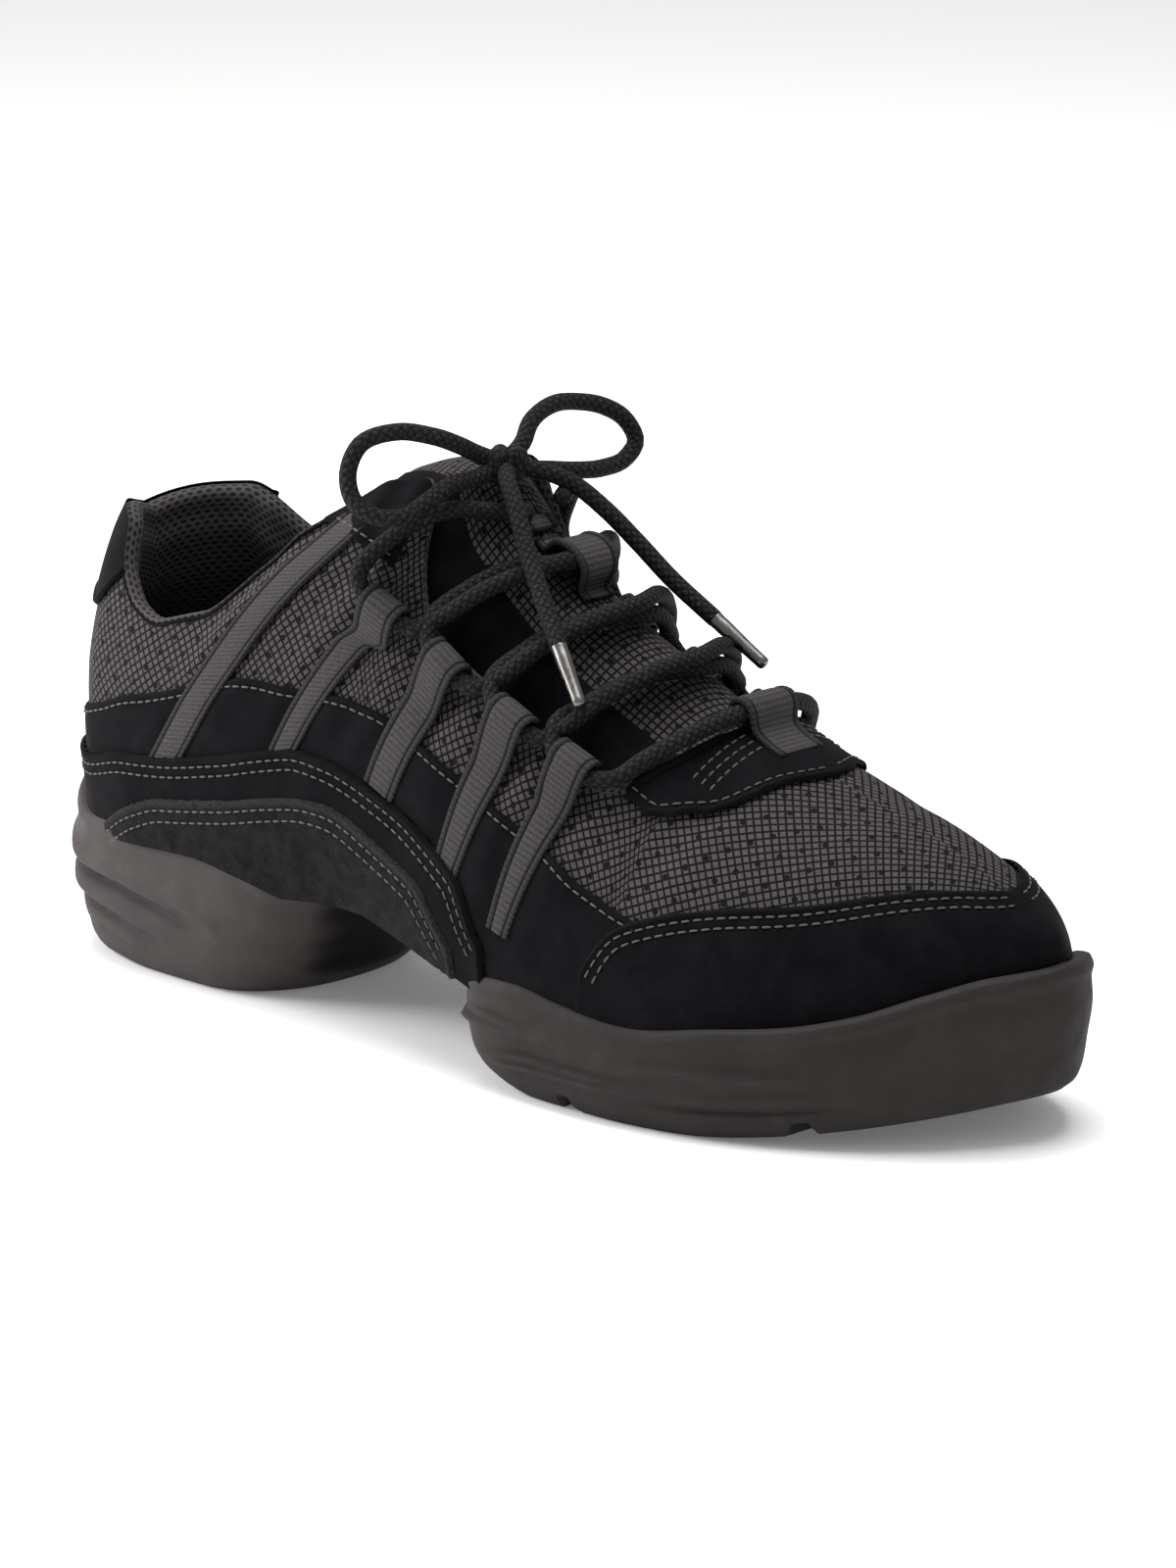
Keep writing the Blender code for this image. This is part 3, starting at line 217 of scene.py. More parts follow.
# Course of one half of the lace from the throat loop to the knot: share of the length, way down from
# the ridge, outer side first, height over the form in lace diameters, and over or under at a crossing
LACE_ROUTE = (
    (0.694, 0.000, 1.03, 0), (0.692, 0.100, 1.03, 0), (0.684, 0.220, 1.00, 0), (0.670, 0.340, 0.97, 0),
    (0.657, 0.412, 0.95, 0), (0.645, 0.432, 0.95, 0), (0.599, 0.432, 0.95, 0), (0.590, 0.400, 0.95, 0),
    (0.598, 0.300, 0.70, 1), (0.615, 0.140, 0.45, 1), (0.628, 0.000, 0.35, 1), (0.624, -0.130, 0.45, 1),
    (0.610, -0.290, 0.70, 1), (0.594, -0.400, 0.90, 0), (0.583, -0.438, 0.95, 0), (0.575, -0.440, 0.95, 0),
    (0.533, -0.440, 0.95, 0), (0.522, -0.415, 0.95, 0), (0.526, -0.310, 0.70, -1), (0.544, -0.150, 0.45, -1),
    (0.560, 0.000, 0.35, -1), (0.555, 0.140, 0.45, -1), (0.539, 0.300, 0.70, -1), (0.520, 0.415, 0.90, 0),
    (0.507, 0.450, 0.95, 0), (0.496, 0.452, 0.95, 0), (0.456, 0.452, 0.95, 0), (0.446, 0.425, 0.95, 0),
    (0.454, 0.310, 0.70, 1), (0.478, 0.150, 0.45, 1), (0.500, 0.000, 0.35, 1), (0.492, -0.130, 0.45, 1),
    (0.470, -0.290, 0.70, 1), (0.448, -0.410, 0.90, 0), (0.435, -0.455, 0.95, 0), (0.423, -0.465, 0.95, 0),
    (0.383, -0.465, 0.95, 0), (0.373, -0.440, 1.15, 0), (0.380, -0.350, 1.25, -1), (0.406, -0.230, 0.72, -1),
    (0.430, -0.130, 0.35, -1), (0.444, -0.050, 0.50, -1))
# Free cords of the bow, with listed points in metres
KNOT_PLACE = (-0.0165, 0.0013, 0.1262)
BOW_LOOP_OUTER = (
    (-0.0190, -0.0048, 0.1290), (-0.0190, -0.0107, 0.1318), (-0.0200, -0.0187, 0.1350),
    (-0.0240, -0.0257, 0.1364), (-0.0290, -0.0320, 0.1338), (-0.0300, -0.0350, 0.1270),
    (-0.0275, -0.0355, 0.1217), (-0.0227, -0.0340, 0.1190), (-0.0183, -0.0298, 0.1188),
    (-0.0165, -0.0235, 0.1218), (-0.0168, -0.0155, 0.1242), (-0.0172, -0.0072, 0.1242))
BOW_LOOP_INNER = (
    (-0.0170, 0.0076, 0.1300), (-0.0182, 0.0113, 0.1337), (-0.0184, 0.0193, 0.1368),
    (-0.0176, 0.0263, 0.1364), (-0.0153, 0.0323, 0.1349), (-0.0129, 0.0373, 0.1314),
    (-0.0112, 0.0390, 0.1265), (-0.0109, 0.0353, 0.1232), (-0.0114, 0.0283, 0.1220),
    (-0.0122, 0.0203, 0.1226), (-0.0138, 0.0133, 0.1236), (-0.0150, 0.0080, 0.1244))
LACE_END_OUTER = (
    (-0.0108, -0.0042, 0.1243), (-0.0048, -0.0082, 0.1205), (0.0018, -0.0119, 0.1130),
    (0.0094, -0.0156, 0.1052), (0.0154, -0.0185, 0.0991), (0.0196, -0.0203, 0.0948))
LACE_END_INNER = (
    (-0.0108, 0.0070, 0.1248), (-0.0060, 0.0123, 0.1218), (0.0000, 0.0163, 0.1164),
    (0.0068, 0.0193, 0.1098), (0.0152, 0.0215, 0.1024), (0.0264, 0.0236, 0.0948))
# Profiles of collar edge, throat edge and tape edge: way down or in from the edge and height over the
# form, in millimetres
COLLAR_ROLL = np.array([
    (1.0, -0.2), (0.9, 0.2), (0.75, 0.42), (0.55, 0.52), (0.3, 0.52), (0.1, 0.42), (-0.15, 0.1),
    (-0.5, -0.5), (-0.8, -1.2), (-0.8, -2.2), (-0.3, -3.3), (0.9, -4.1)])
THROAT_ROLL = np.array([
    (1.2, 0.05), (1.0, 0.2), (0.8, 0.3), (0.6, 0.35), (0.4, 0.35), (0.2, 0.3), (0.0, 0.15),
    (-0.25, -0.2), (-0.35, -0.6), (-0.3, -1.1), (0.0, -1.6), (0.7, -2.2)])
TAPE_HALF = 0.5            # half the tape's thickness
TAPE_ROLL = np.array([
    (0.0, 0.0), (0.05, 0.4), (0.25, 0.75), (0.6, 0.9), (1.0, 0.75), (1.45, 0.2), (1.9, 0.4), (2.6, 0.5)])


def smooth(t):
    """Soft step from 0 to 1."""
    t = np.clip(t, 0.0, 1.0)
    return t * t * (3.0 - 2.0 * t)


def quarter_round(part):
    """Height of a rounded edge: a quarter circle over the first share of the way, then flat."""
    return np.sqrt(np.clip(1 - (1 - np.clip(part, 0, 1)) ** 2, 0, 1))


def turn_of(share):
    """Share of the length as a share of a half turn, so that heel and toe close roundly."""
    return np.arccos(np.clip(1.0 - 2.0 * np.asarray(share, float), -1.0, 1.0)) / math.pi


def share_of(turn):
    """Share of the length at a share of a half turn."""
    return (1.0 - np.cos(math.pi * np.asarray(turn, float))) / 2.0


def curve_through(xs, ys, x):
    """Smooth curve through a table's rows that never overshoots them: a cubic between each two rows, whose
    slope at a row is the weighted harmonic mean of the slopes beside it, or level where they turn."""
    step = np.diff(xs)
    rise = np.diff(ys) / step
    slope = np.zeros(len(xs))
    after, before = 2 * step[1:] + step[:-1], step[1:] + 2 * step[:-1]
    same = rise[:-1] * rise[1:] > 0
    safe = np.where(same, rise[:-1] * rise[1:], 1.0)
    mean = (after + before) * safe / (after * np.where(same, rise[1:], 1.0)
                                      + before * np.where(same, rise[:-1], 1.0))
    slope[1:-1] = np.where(same, mean, 0.0)
    slope[0], slope[-1] = rise[0], rise[-1]
    x = np.clip(np.asarray(x, float), xs[0], xs[-1])
    i = np.clip(np.searchsorted(xs, x, side="right") - 1, 0, len(step) - 1)
    t = (x - xs[i]) / step[i]
    start = (2 * t ** 3 - 3 * t ** 2 + 1) * ys[i] + (t ** 3 - 2 * t ** 2 + t) * step[i] * slope[i]
    end = (3 * t ** 2 - 2 * t ** 3) * ys[i + 1] + (t ** 3 - t ** 2) * step[i] * slope[i + 1]
    return start + end


def read(table, column, share):
    """One column of a table of sections, at a share of the length."""
    return curve_through(turn_of(table[:, 0]), table[:, column], turn_of(share))


def half_width_at(share):
    """Half width that heel or ball give at a share of the length."""
    return (HEEL_WIDTH + (BALL_WIDTH - HEEL_WIDTH) * smooth((share - 0.30) / 0.34)) / 2


def height_at(share):
    """Height that heel or instep give at a share of the length."""
    return HEEL_HEIGHT + (INSTEP_HEIGHT - HEEL_HEIGHT) * smooth(share / 0.385)


def sole_middle(share):
    """Middle of the sole's outline, across the shoe."""
    return read(PLAN, 1, share) * BALL_WIDTH / 2


def sole_half(share):
    """Half width of the sole's outline."""
    return read(PLAN, 2, share) * half_width_at(share)


STEP = 1e-4                # step for slopes, in shares
SHARES = np.linspace(0.0, 1.0, 201)
SIDE_STEP = -(np.min(sole_middle(SHARES) - sole_half(SHARES))
              + np.max(sole_middle(SHARES) + sole_half(SHARES))) / 2
SECTION_START = 1.26       # how steeply a section starts at its foot
RISE = SECTION_START * SHARES * (1 - SHARES) ** 2 + 3 * SHARES ** 2 * (1 - SHARES) + SHARES ** 3


def bottom_edge(share):
    """Height of the form's bottom edge."""
    return read(SECTIONS, 4, share) * SEAT_HEIGHT


def ridge_height(share):
    """Height of the form's ridge."""
    return read(SECTIONS, 5, share) * height_at(share)


def way_up(share, z):
    """Share of the way up at which the form reaches a height."""
    low = bottom_edge(share)
    return np.interp(np.clip((z - low) / (ridge_height(share) - low), 0, 1), RISE, SHARES)


def topline(share, side):
    """Share of the way up where the upper ends at the collar and the throat."""
    share, side = np.broadcast_arrays(np.asarray(share, float), side)
    edge = np.where(side < 0, read(SECTIONS, 6, share), read(SECTIONS, 7, share)) * height_at(share)
    return way_up(share, edge)


def form(turn, up, side):
    """Points of the closed form over the last. Each section is a cubic curve that starts at the sole's
    edge, is drawn out by the bulge and in over the shoulder, and ends at the ridge."""
    turn, up, side = np.broadcast_arrays(np.asarray(turn, float), np.asarray(up, float), side)
    share = share_of(turn)
    wide = sole_half(share)
    near_end = np.clip(wide / END_WIDTH, 0, 1)
    half = np.maximum(wide - SOLE_MARGIN * near_end, 0)
    middle, ridge = sole_middle(share), read(SECTIONS, 3, share) * BALL_WIDTH / 2
    bulge = read(SECTIONS, 1, share) * half_width_at(share) * 1.6 * near_end
    low, high = bottom_edge(share), ridge_height(share)
    down = 1 - up
    z = low + (high - low) * (SECTION_START * up * down ** 2 + 3 * up ** 2 * down + up ** 3)
    y = (down ** 3 * (middle + side * half) + 3 * up * down ** 2 * (middle + side * (half + bulge))
         + 3 * up ** 2 * down * (ridge + side * half * read(SECTIONS, 2, share)) + up ** 3 * ridge)
    back = curve_through(HEEL_BACK[:, 0], HEEL_BACK[:, 1], z / HEEL_HEIGHT) * HEEL_LEAN
    x = back + share * (SOLE_LENGTH - TOE_MARGIN - back) - SOLE_LENGTH / 2
    return np.stack([x, y + SIDE_STEP, z], -1)


def past_seam(turn, up, side):
    """Points of the form; what runs past heel, toe or ridge goes on over the other side."""
    crossings = (turn < 0).astype(int) + (turn > 1) + (up > 1)
    turn = np.where(turn < 0, -turn, np.where(turn > 1, 2 - turn, turn))
    return form(turn, np.where(up > 1, 2 - up, up), side * (-1.0) ** crossings)


def place(share, up, side, lift=0.0):
    """Points on the form, moved out along its normal by lift."""
    share, up, side, lift = np.broadcast_arrays(
        np.asarray(share, float), np.asarray(up, float), np.asarray(side, float), lift)
    turn = turn_of(share)
    along = past_seam(turn + STEP, up, side) - past_seam(turn - STEP, up, side)
    rising = past_seam(turn, up + STEP, side) - past_seam(turn, up - STEP, side)
    normal = np.cross(along, rising) * -side[..., None]
    normal /= np.maximum(np.linalg.norm(normal, axis=-1, keepdims=True), 1e-12)
    return form(turn, up, side) + normal * lift[..., None]


def gradient_on_form(share, up, side):
    """Slopes of the form along a share of the length and along the way up."""
    step = 2 * STEP
    share = np.clip(share, 4 * step, 1 - 4 * step)
    up = np.clip(up, 4 * step, 1 - 4 * step)
    along = (place(share + step, up, side) - place(share - step, up, side)) / (2 * step)
    rising = (place(share, up + step, side) - place(share, up - step, side)) / (2 * step)
    return along, rising


def relief(share, up):
    """Height of the soft creases: bells stretched along a line, then a trough under every strap and a
    puff of cloth on both sides of it."""
    share, up = np.broadcast_arrays(np.asarray(share, float), np.asarray(up, float))
    tall = (ridge_height(share) - bottom_edge(share)) / MM
    height = np.zeros(share.shape)
    for at, way, angle, half_long, half_wide, high in CREASES:
        ahead, above = (share - at) * SOLE_LENGTH / MM, (up - way) * tall
        c, s = math.cos(math.radians(angle)), math.sin(math.radians(angle))
        bell = ((ahead * c + above * s) / half_long) ** 2 + ((above * c - ahead * s) / half_wide) ** 2
        height += high * np.exp(-bell)
    for rear_low, front_low, up_low, rear_high, front_high, up_rear, up_front, _ in STRAPS:
        low, high = (rear_low + front_low) / 2, (rear_high + front_high) / 2
        part = np.clip((up - up_low) / ((up_rear + up_front) / 2 - up_low), -0.1, 1.1)
        away = (share - low - (high - low) * part) * SOLE_LENGTH / MM
        above = smooth((up - up_low + 0.06) / 0.09)
        puff = (0.35 + 0.65 * smooth((up - 0.40) / 0.15)) * np.exp(-((np.abs(away) - 9.5) / 3.2) ** 2)
        height += above * (puff - 0.55 * np.exp(-(away / 5.5) ** 2))
    return height * MM * smooth((up - 0.12) / 0.12)


def lay(share, up, side, lift=0.0):
    """Points on the creased form, moved out by lift."""
    return place(share, up, side, relief(share, up) + lift)


def runs(points, axis):
    """Distance run along one axis of a grid of points."""
    step = np.linalg.norm(np.diff(points, axis=axis), axis=-1)
    return np.concatenate([np.zeros_like(np.take(step, [0], axis)), np.cumsum(step, axis)], axis)


def build(name, sheets, finish, slot_name, *nodes):
    """Mesh of one or more grids of points; each grid comes with the way out at its points and its UV map
    in millimetres. Faces are turned to the way out and doubled points are joined. The finish is named
    in FINISHES, and nodes are the frame's nodes that the piece replaces."""
    points, faces, maps, first = [], [], [], 0
    for grid, out, uv in sheets:
        rows, columns = grid.shape[:2]
        i, j = np.arange(rows - 1)[:, None], np.arange(columns - 1)[None, :]
        a = i * columns + j
        quads = np.stack([a, a + columns, a + columns + 1, a + 1], -1).reshape(-1, 4)
        flat, ways = grid.reshape(-1, 3), np.broadcast_to(out, grid.shape).reshape(-1, 3)
        corner = flat[quads]
        normal = np.cross(corner[:, 2] - corner[:, 0], corner[:, 3] - corner[:, 1])
        turned = (normal * ways[quads].sum(1)).sum(1) < 0
        quads[turned] = quads[turned][:, ::-1]
        points.append(flat)
        faces.append(quads + first)
        maps.append(np.broadcast_to(uv, (rows, columns, 2)).reshape(-1, 2))
        first += len(flat)
    points, faces, maps = np.concatenate(points), np.concatenate(faces), np.concatenate(maps)
    mesh = bpy.data.meshes.new(name)
    mesh.vertices.add(len(points))
    mesh.vertices.foreach_set("co", points.astype(np.float32).ravel())
    mesh.loops.add(faces.size)
    mesh.loops.foreach_set("vertex_index", faces.astype(np.int32).ravel())
    mesh.polygons.add(len(faces))
    mesh.polygons.foreach_set("loop_start", np.arange(0, faces.size, 4, dtype=np.int32))
    mesh.update(calc_edges=True)
    layer = mesh.uv_layers.new(name="UVMap")
    layer.data.foreach_set("uv", maps[faces.ravel()].astype(np.float32).ravel())
    work = bmesh.new()
    work.from_mesh(mesh)
    bmesh.ops.remove_doubles(work, verts=work.verts, dist=2e-6)
    for face in work.faces:
        face.smooth = True
    work.to_mesh(mesh)
    work.free()
    mesh.validate()
    made = bpy.data.objects.new(name, mesh)
    mesh.materials.append(FINISHES[finish])
    bpy.context.collection.objects.link(made)
    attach(made, "root")
    if nodes:
        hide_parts(*nodes)
    return made


def on_form(share, up, side, lift):
    """Sheet on the form for build: the UV map runs along the shoe and down from the sheet's top edge."""
    grid = lay(share, up, side, lift)
    out = lay(share, up, side, lift + MM) - grid
    down = runs(grid, 1)
    down = down[:, -1:] - down
    along = runs(grid, 0)[:, grid.shape[1] // 2, None]
    uv = np.stack(np.broadcast_arrays(along / MM, down / MM), -1)
    return grid, out, uv


def tube(points, radius, sides=14, swell=None):
    """Round bar along a line of points, with rounded ends: rings at right angles to the line. The
    radius may swell by a factor at each point."""
    points = np.asarray(points, float)
    along = np.gradient(points, axis=0)
    along /= np.linalg.norm(along, axis=1, keepdims=True)
    ups = np.zeros_like(points)
    up = np.array([0.0, 0.0, 1.0])
    for i, way in enumerate(along):
        up = up - way * up.dot(way)
        up /= np.linalg.norm(up)
        ups[i] = up
    across = np.cross(along, ups)
    angle = np.linspace(0, 2 * math.pi, sides + 1)[None, :, None]
    run = np.concatenate([[0], np.cumsum(np.linalg.norm(np.diff(points, axis=0), axis=1))])
    size = np.full(len(points), radius) if swell is None else radius * swell
    out = np.cos(angle) * ups[:, None] + np.sin(angle) * across[:, None]
    grid = points[:, None] + out * size[:, None, None]
    caps = []
    for end, sign in ((0, -1.0), (-1, 1.0)):
        for turn in (30, 60, 90):
            c, s = math.cos(math.radians(turn)), math.sin(math.radians(turn))
            caps.append(points[end] + out[end] * size[end] * c + sign * along[end] * size[end] * s * 0.6)
    first, last = np.array(caps[:3][::-1]), np.array(caps[3:])
    grid = np.concatenate([first, grid, last])
    out = np.concatenate([np.broadcast_to(out[0], first.shape) - along[0], out,
                          np.broadcast_to(out[-1], last.shape) + along[-1]])
    run = np.concatenate([[run[0] - 3 * radius / 4] * 3, run, [run[-1] + 3 * radius / 4] * 3])
    uv = np.stack(np.broadcast_arrays(run[:, None] / MM, np.linspace(0, 1, sides + 1)[None, :]), -1)
    return grid, out, uv


def through(points, spacing):
    """Points at even steps along the smooth curve through given ones, or through rows of them."""
    points = np.asarray(points, float)
    shape = points.shape
    middle = points.reshape(shape[0], -1, 3).mean(1)
    at = np.concatenate([[0], np.cumsum(np.linalg.norm(np.diff(middle, axis=0), axis=1))])
    flat = points.reshape(shape[0], -1)
    slope = np.gradient(flat, at, axis=0)
    fine = np.linspace(0, at[-1], 1500)
    i = np.clip(np.searchsorted(at, fine, side="right") - 1, 0, len(at) - 2)
    step = (at[i + 1] - at[i])[:, None]
    t = (fine - at[i])[:, None] / step
    line = ((2 * t ** 3 - 3 * t ** 2 + 1) * flat[i] + (t ** 3 - 2 * t ** 2 + t) * step * slope[i]
            + (3 * t ** 2 - 2 * t ** 3) * flat[i + 1] + (t ** 3 - t ** 2) * step * slope[i + 1])
    centre = line.reshape(len(fine), -1, 3).mean(1)
    run = np.concatenate([[0], np.cumsum(np.linalg.norm(np.diff(centre, axis=0), axis=1))])
    count = max(3, int(round(run[-1] / spacing)) + 1)
    even = np.linspace(0, run[-1], count)
    made = np.stack([np.interp(even, run, line[:, k]) for k in range(line.shape[1])], 1)
    return made.reshape(count, *shape[1:])


def linear(code):
    """A colour given as an sRGB code, in the linear values that shaders take."""
    shares = np.array([int(code[i:i + 2], 16) for i in (1, 3, 5)]) / 255
    return tuple(np.where(shares <= 0.04045, shares / 12.92, ((shares + 0.055) / 1.055) ** 2.4).tolist())


def add_node(tree, kind, inputs, **settings):
    """Shader node with its settings; an input is a number, a colour or another node's output."""
    node = tree.nodes.new(f"ShaderNode{kind}")
    for key, value in settings.items():
        setattr(node, key, value)
    for key, value in inputs.items():
        if isinstance(value, bpy.types.NodeSocket):
            tree.links.new(value, node.inputs[key])
        else:
            node.inputs[key].default_value = value
    return node


def calc(tree, operation, *values):
    """Output of a Math node."""
    return add_node(tree, "Math", dict(enumerate(values)), operation=operation).outputs[0]


def ramp(tree, value, start, end, low=0.0, high=1.0):
    """Soft step of a value between two limits."""
    return add_node(tree, "MapRange", {0: value, 1: start, 2: end, 3: low, 4: high},
                    interpolation_type="SMOOTHSTEP").outputs[0]


def blend_colours(tree, share, first, second):
    """Mix of two colours by a share."""
    pair = [value if isinstance(value, bpy.types.NodeSocket) else (*value, 1.0) for value in (first, second)]
    return add_node(tree, "Mix", {0: share, 6: pair[0], 7: pair[1]}, data_type="RGBA").outputs[2]


def noise(tree, scale, detail=3.0, roughness=0.55):
    """Cloudy values about 0.5; the scale is in clouds per metre of the piece."""
    place_in = add_node(tree, "TexCoord", {}).outputs["Object"]
    return add_node(tree, "TexNoise", {"Vector": place_in, "Scale": scale, "Detail": detail,
                                       "Roughness": roughness}).outputs[0]


def map_mm(tree):
    """The piece's own map in millimetres, along and across."""
    node = add_node(tree, "SeparateXYZ", {0: add_node(tree, "UVMap", {}, uv_map="UVMap").outputs[0]})
    return node.outputs[0], node.outputs[1]


def off_middle(tree, value):
    """How far a value lies from the middle between two whole numbers."""
    return calc(tree, "SUBTRACT", calc(tree, "FRACT", value), 0.5)


def new_finish(name):
    """New material with its tree and its shader."""
    made = bpy.data.materials.new(name)
    made.use_nodes = True
    return made, made.node_tree, made.node_tree.nodes["Principled BSDF"]


def set_shader(tree, shader, colour, roughness, height=None, depth=0.0002, strength=1.0, **more):
    """Fills the shader; a height of 0 to 1 becomes a bump of the given depth in metres."""
    values = {"Base Color": colour, "Roughness": roughness, **more}
    if height is not None:
        values["Normal"] = add_node(tree, "Bump", {"Height": height, "Distance": depth,
                                                   "Strength": strength}).outputs[0]
    for key, value in values.items():
        if isinstance(value, bpy.types.NodeSocket):
            tree.links.new(value, shader.inputs[key])
        elif key == "Base Color":
            shader.inputs[key].default_value = (*value, 1.0)
        else:
            shader.inputs[key].default_value = value


def make_mesh_cloth(options):
    """Knitted upper cloth: pale square cells on a black ground, which read as a weave from afar, and a
    sparse grid of pinholes three cells apart, turned against the cells."""
    made, tree, shader = new_finish("knitted_mesh")
    x, y = map_mm(tree)
    pitch = options.cell_pitch / MM
    x, y = calc(tree, "DIVIDE", x, pitch), calc(tree, "DIVIDE", y, pitch)
    off_x, off_y = (calc(tree, "ABSOLUTE", off_middle(tree, value)) for value in (x, y))
    cell = ramp(tree, calc(tree, "MAXIMUM", off_x, off_y), 0.42, 0.30)
    along, across = 0.981, 0.196       # cosine and sine of the pinholes' turn
    turned_x = calc(tree, "ADD", calc(tree, "MULTIPLY", x, along), calc(tree, "MULTIPLY", y, across))
    turned_y = calc(tree, "SUBTRACT", calc(tree, "MULTIPLY", y, along), calc(tree, "MULTIPLY", x, across))
    off_x, off_y = (off_middle(tree, calc(tree, "DIVIDE", value, 3.0)) for value in (turned_x, turned_y))
    squares = [calc(tree, "MULTIPLY", value, value) for value in (off_x, off_y)]
    pin = ramp(tree, calc(tree, "SQRT", calc(tree, "ADD", *squares)), 0.16, 0.11)
    shown = calc(tree, "MULTIPLY", cell, calc(tree, "SUBTRACT", 1.0, pin))
    uneven = calc(tree, "MULTIPLY", shown, ramp(tree, noise(tree, 900.0), 0.3, 0.7, 0.75, 1.15))
    colour = blend_colours(tree, uneven, options.mesh_ground, options.mesh_cell)
    set_shader(tree, shader, colour, 0.8, calc(tree, "SUBTRACT", shown, calc(tree, "MULTIPLY", pin, 0.6)),
               0.0003, 0.6, **{"Specular IOR Level": 0.1})
    return made


def make_lining_cloth(options):
    """Spacer lining: soft grey knit with staggered rows of dark oval holes, as seen inside the collar."""
    made, tree, shader = new_finish("spacer_lining")
    x, y = map_mm(tree)
    wide, high = 2.2, 1.3
    row = calc(tree, "FLOOR", calc(tree, "DIVIDE", y, high))
    x = calc(tree, "MULTIPLY_ADD", calc(tree, "FLOORED_MODULO", row, 2.0), wide / 2, x)
    squares = []
    for value, pitch, sharp in ((x, wide, 3.2), (y, high, 3.0)):
        off = calc(tree, "ABSOLUTE", off_middle(tree, calc(tree, "DIVIDE", value, pitch)))
        squares.append(calc(tree, "POWER", calc(tree, "MULTIPLY", off, sharp), 2.0))
    round_off = calc(tree, "ADD", *squares)
    cloth = ramp(tree, round_off, 0.6, 1.3)
    colour = blend_colours(tree, cloth, options.lining_ground, options.lining_colour)
    set_shader(tree, shader, colour, 0.85, cloth, 0.0003, 0.6, **{"Specular IOR Level": 0.25})
    return made


def make_nubuck(options):
    """Nubuck: nearly black, dull, with a fine nap that greys a little where it is brushed. It gives the
    bands their soft dark faces beside the pale mesh."""
    made, tree, shader = new_finish("nubuck")
    brushed = ramp(tree, noise(tree, 120.0, 5.0, 0.65), 0.35, 0.75)
    colour = blend_colours(tree, brushed, options.nubuck_colour, options.nubuck_brushed)
    nap = calc(tree, "ADD", noise(tree, 2600.0, 2.0), calc(tree, "MULTIPLY", noise(tree, 500.0, 4.0), 0.6))
    set_shader(tree, shader, colour, 0.82, nap, 0.0001, 0.35,
               **{"Specular IOR Level": 0.04, "Sheen Weight": 0.01, "Sheen Roughness": 0.5})
    return made


def make_suede(options):
    """Suede: longer nap than the nubuck's, paler and cloudier, with no shine and a paler raw edge."""
    made, tree, shader = new_finish("suede")
    cloud = ramp(tree, noise(tree, 260.0, 6.0, 0.75), 0.3, 0.7)
    colour = blend_colours(tree, cloud, options.suede_colour, options.suede_brushed)
    from_edge = ramp(tree, map_mm(tree)[1], 2.8, 0.5)
    fringe = calc(tree, "MULTIPLY", from_edge, ramp(tree, noise(tree, 1700.0), 0.35, 0.6, 0.2, 0.9))
    colour = blend_colours(tree, fringe, colour, options.suede_edge)
    tufts = calc(tree, "MULTIPLY", noise(tree, 400.0, 5.0), 0.8)
    nap = calc(tree, "ADD", noise(tree, 1500.0, 3.0, 0.7), tufts)
    set_shader(tree, shader, colour, 0.95, nap, 0.0003, 0.6,
               **{"Specular IOR Level": 0.05, "Sheen Weight": 0.03, "Sheen Roughness": 0.6})
    return made


def make_tape(options):
    """Woven tape: fine ribs across, with a dark line just inside each rolled edge, as folded webbing has,
    and painted shade that halves the brightness along the rolled edges.
    """
    made, tree, shader = new_finish("woven_tape")
    x, y = map_mm(tree)
    wave = calc(tree, "SINE", calc(tree, "MULTIPLY", x, 2 * math.pi / 1.3))
    ribs = calc(tree, "MULTIPLY_ADD", wave, 0.5, 0.5)
    line = ramp(tree, calc(tree, "ABSOLUTE", calc(tree, "SUBTRACT", y, 1.5)), 0.15, 0.45)
    # Uneven threads, times painted shade that darkens the strip within about a millimetre of each edge.
    threads_and_edge_shade = calc(tree, "MULTIPLY", ramp(tree, noise(tree, 1800.0, 2.0), 0.3, 0.7, 0.75, 1.2),
                   ramp(tree, y, 0.9, 1.6, 0.5, 1.0))
    lit = calc(tree, "MULTIPLY", calc(tree, "MULTIPLY_ADD", ribs, 0.45, 0.55),
               calc(tree, "MULTIPLY", line, threads_and_edge_shade))
    colour = blend_colours(tree, lit, options.tape_shadow, options.tape_colour)
    set_shader(tree, shader, colour, 0.7, lit, 0.0004, 0.7, **{"Specular IOR Level": 0.12})
    return made


def make_braid(options):
    """Round braid: a lattice of crossing strands with a few paler flecks."""
    made, tree, shader = new_finish("round_braid")
    x, y = map_mm(tree)
    strands = []
    for sign in (1.0, -1.0):
        turn = calc(tree, "MULTIPLY_ADD", y, 6.0 * sign, calc(tree, "DIVIDE", x, 2.1))
        strands.append(calc(tree, "ABSOLUTE", calc(tree, "SINE", calc(tree, "MULTIPLY", turn, math.pi))))
    lattice = calc(tree, "MULTIPLY", *strands)
    fleck = ramp(tree, noise(tree, 1300.0, 1.0), 0.62, 0.70)
    colour = blend_colours(tree, ramp(tree, lattice, 0.05, 0.7), options.lace_shadow, options.lace_colour)
    colour = blend_colours(tree, calc(tree, "MULTIPLY", fleck, 0.6), colour, options.lace_fleck)
    set_shader(tree, shader, colour, 0.75, lattice, 0.0004, 0.8, **{"Specular IOR Level": 0.12})
    return made


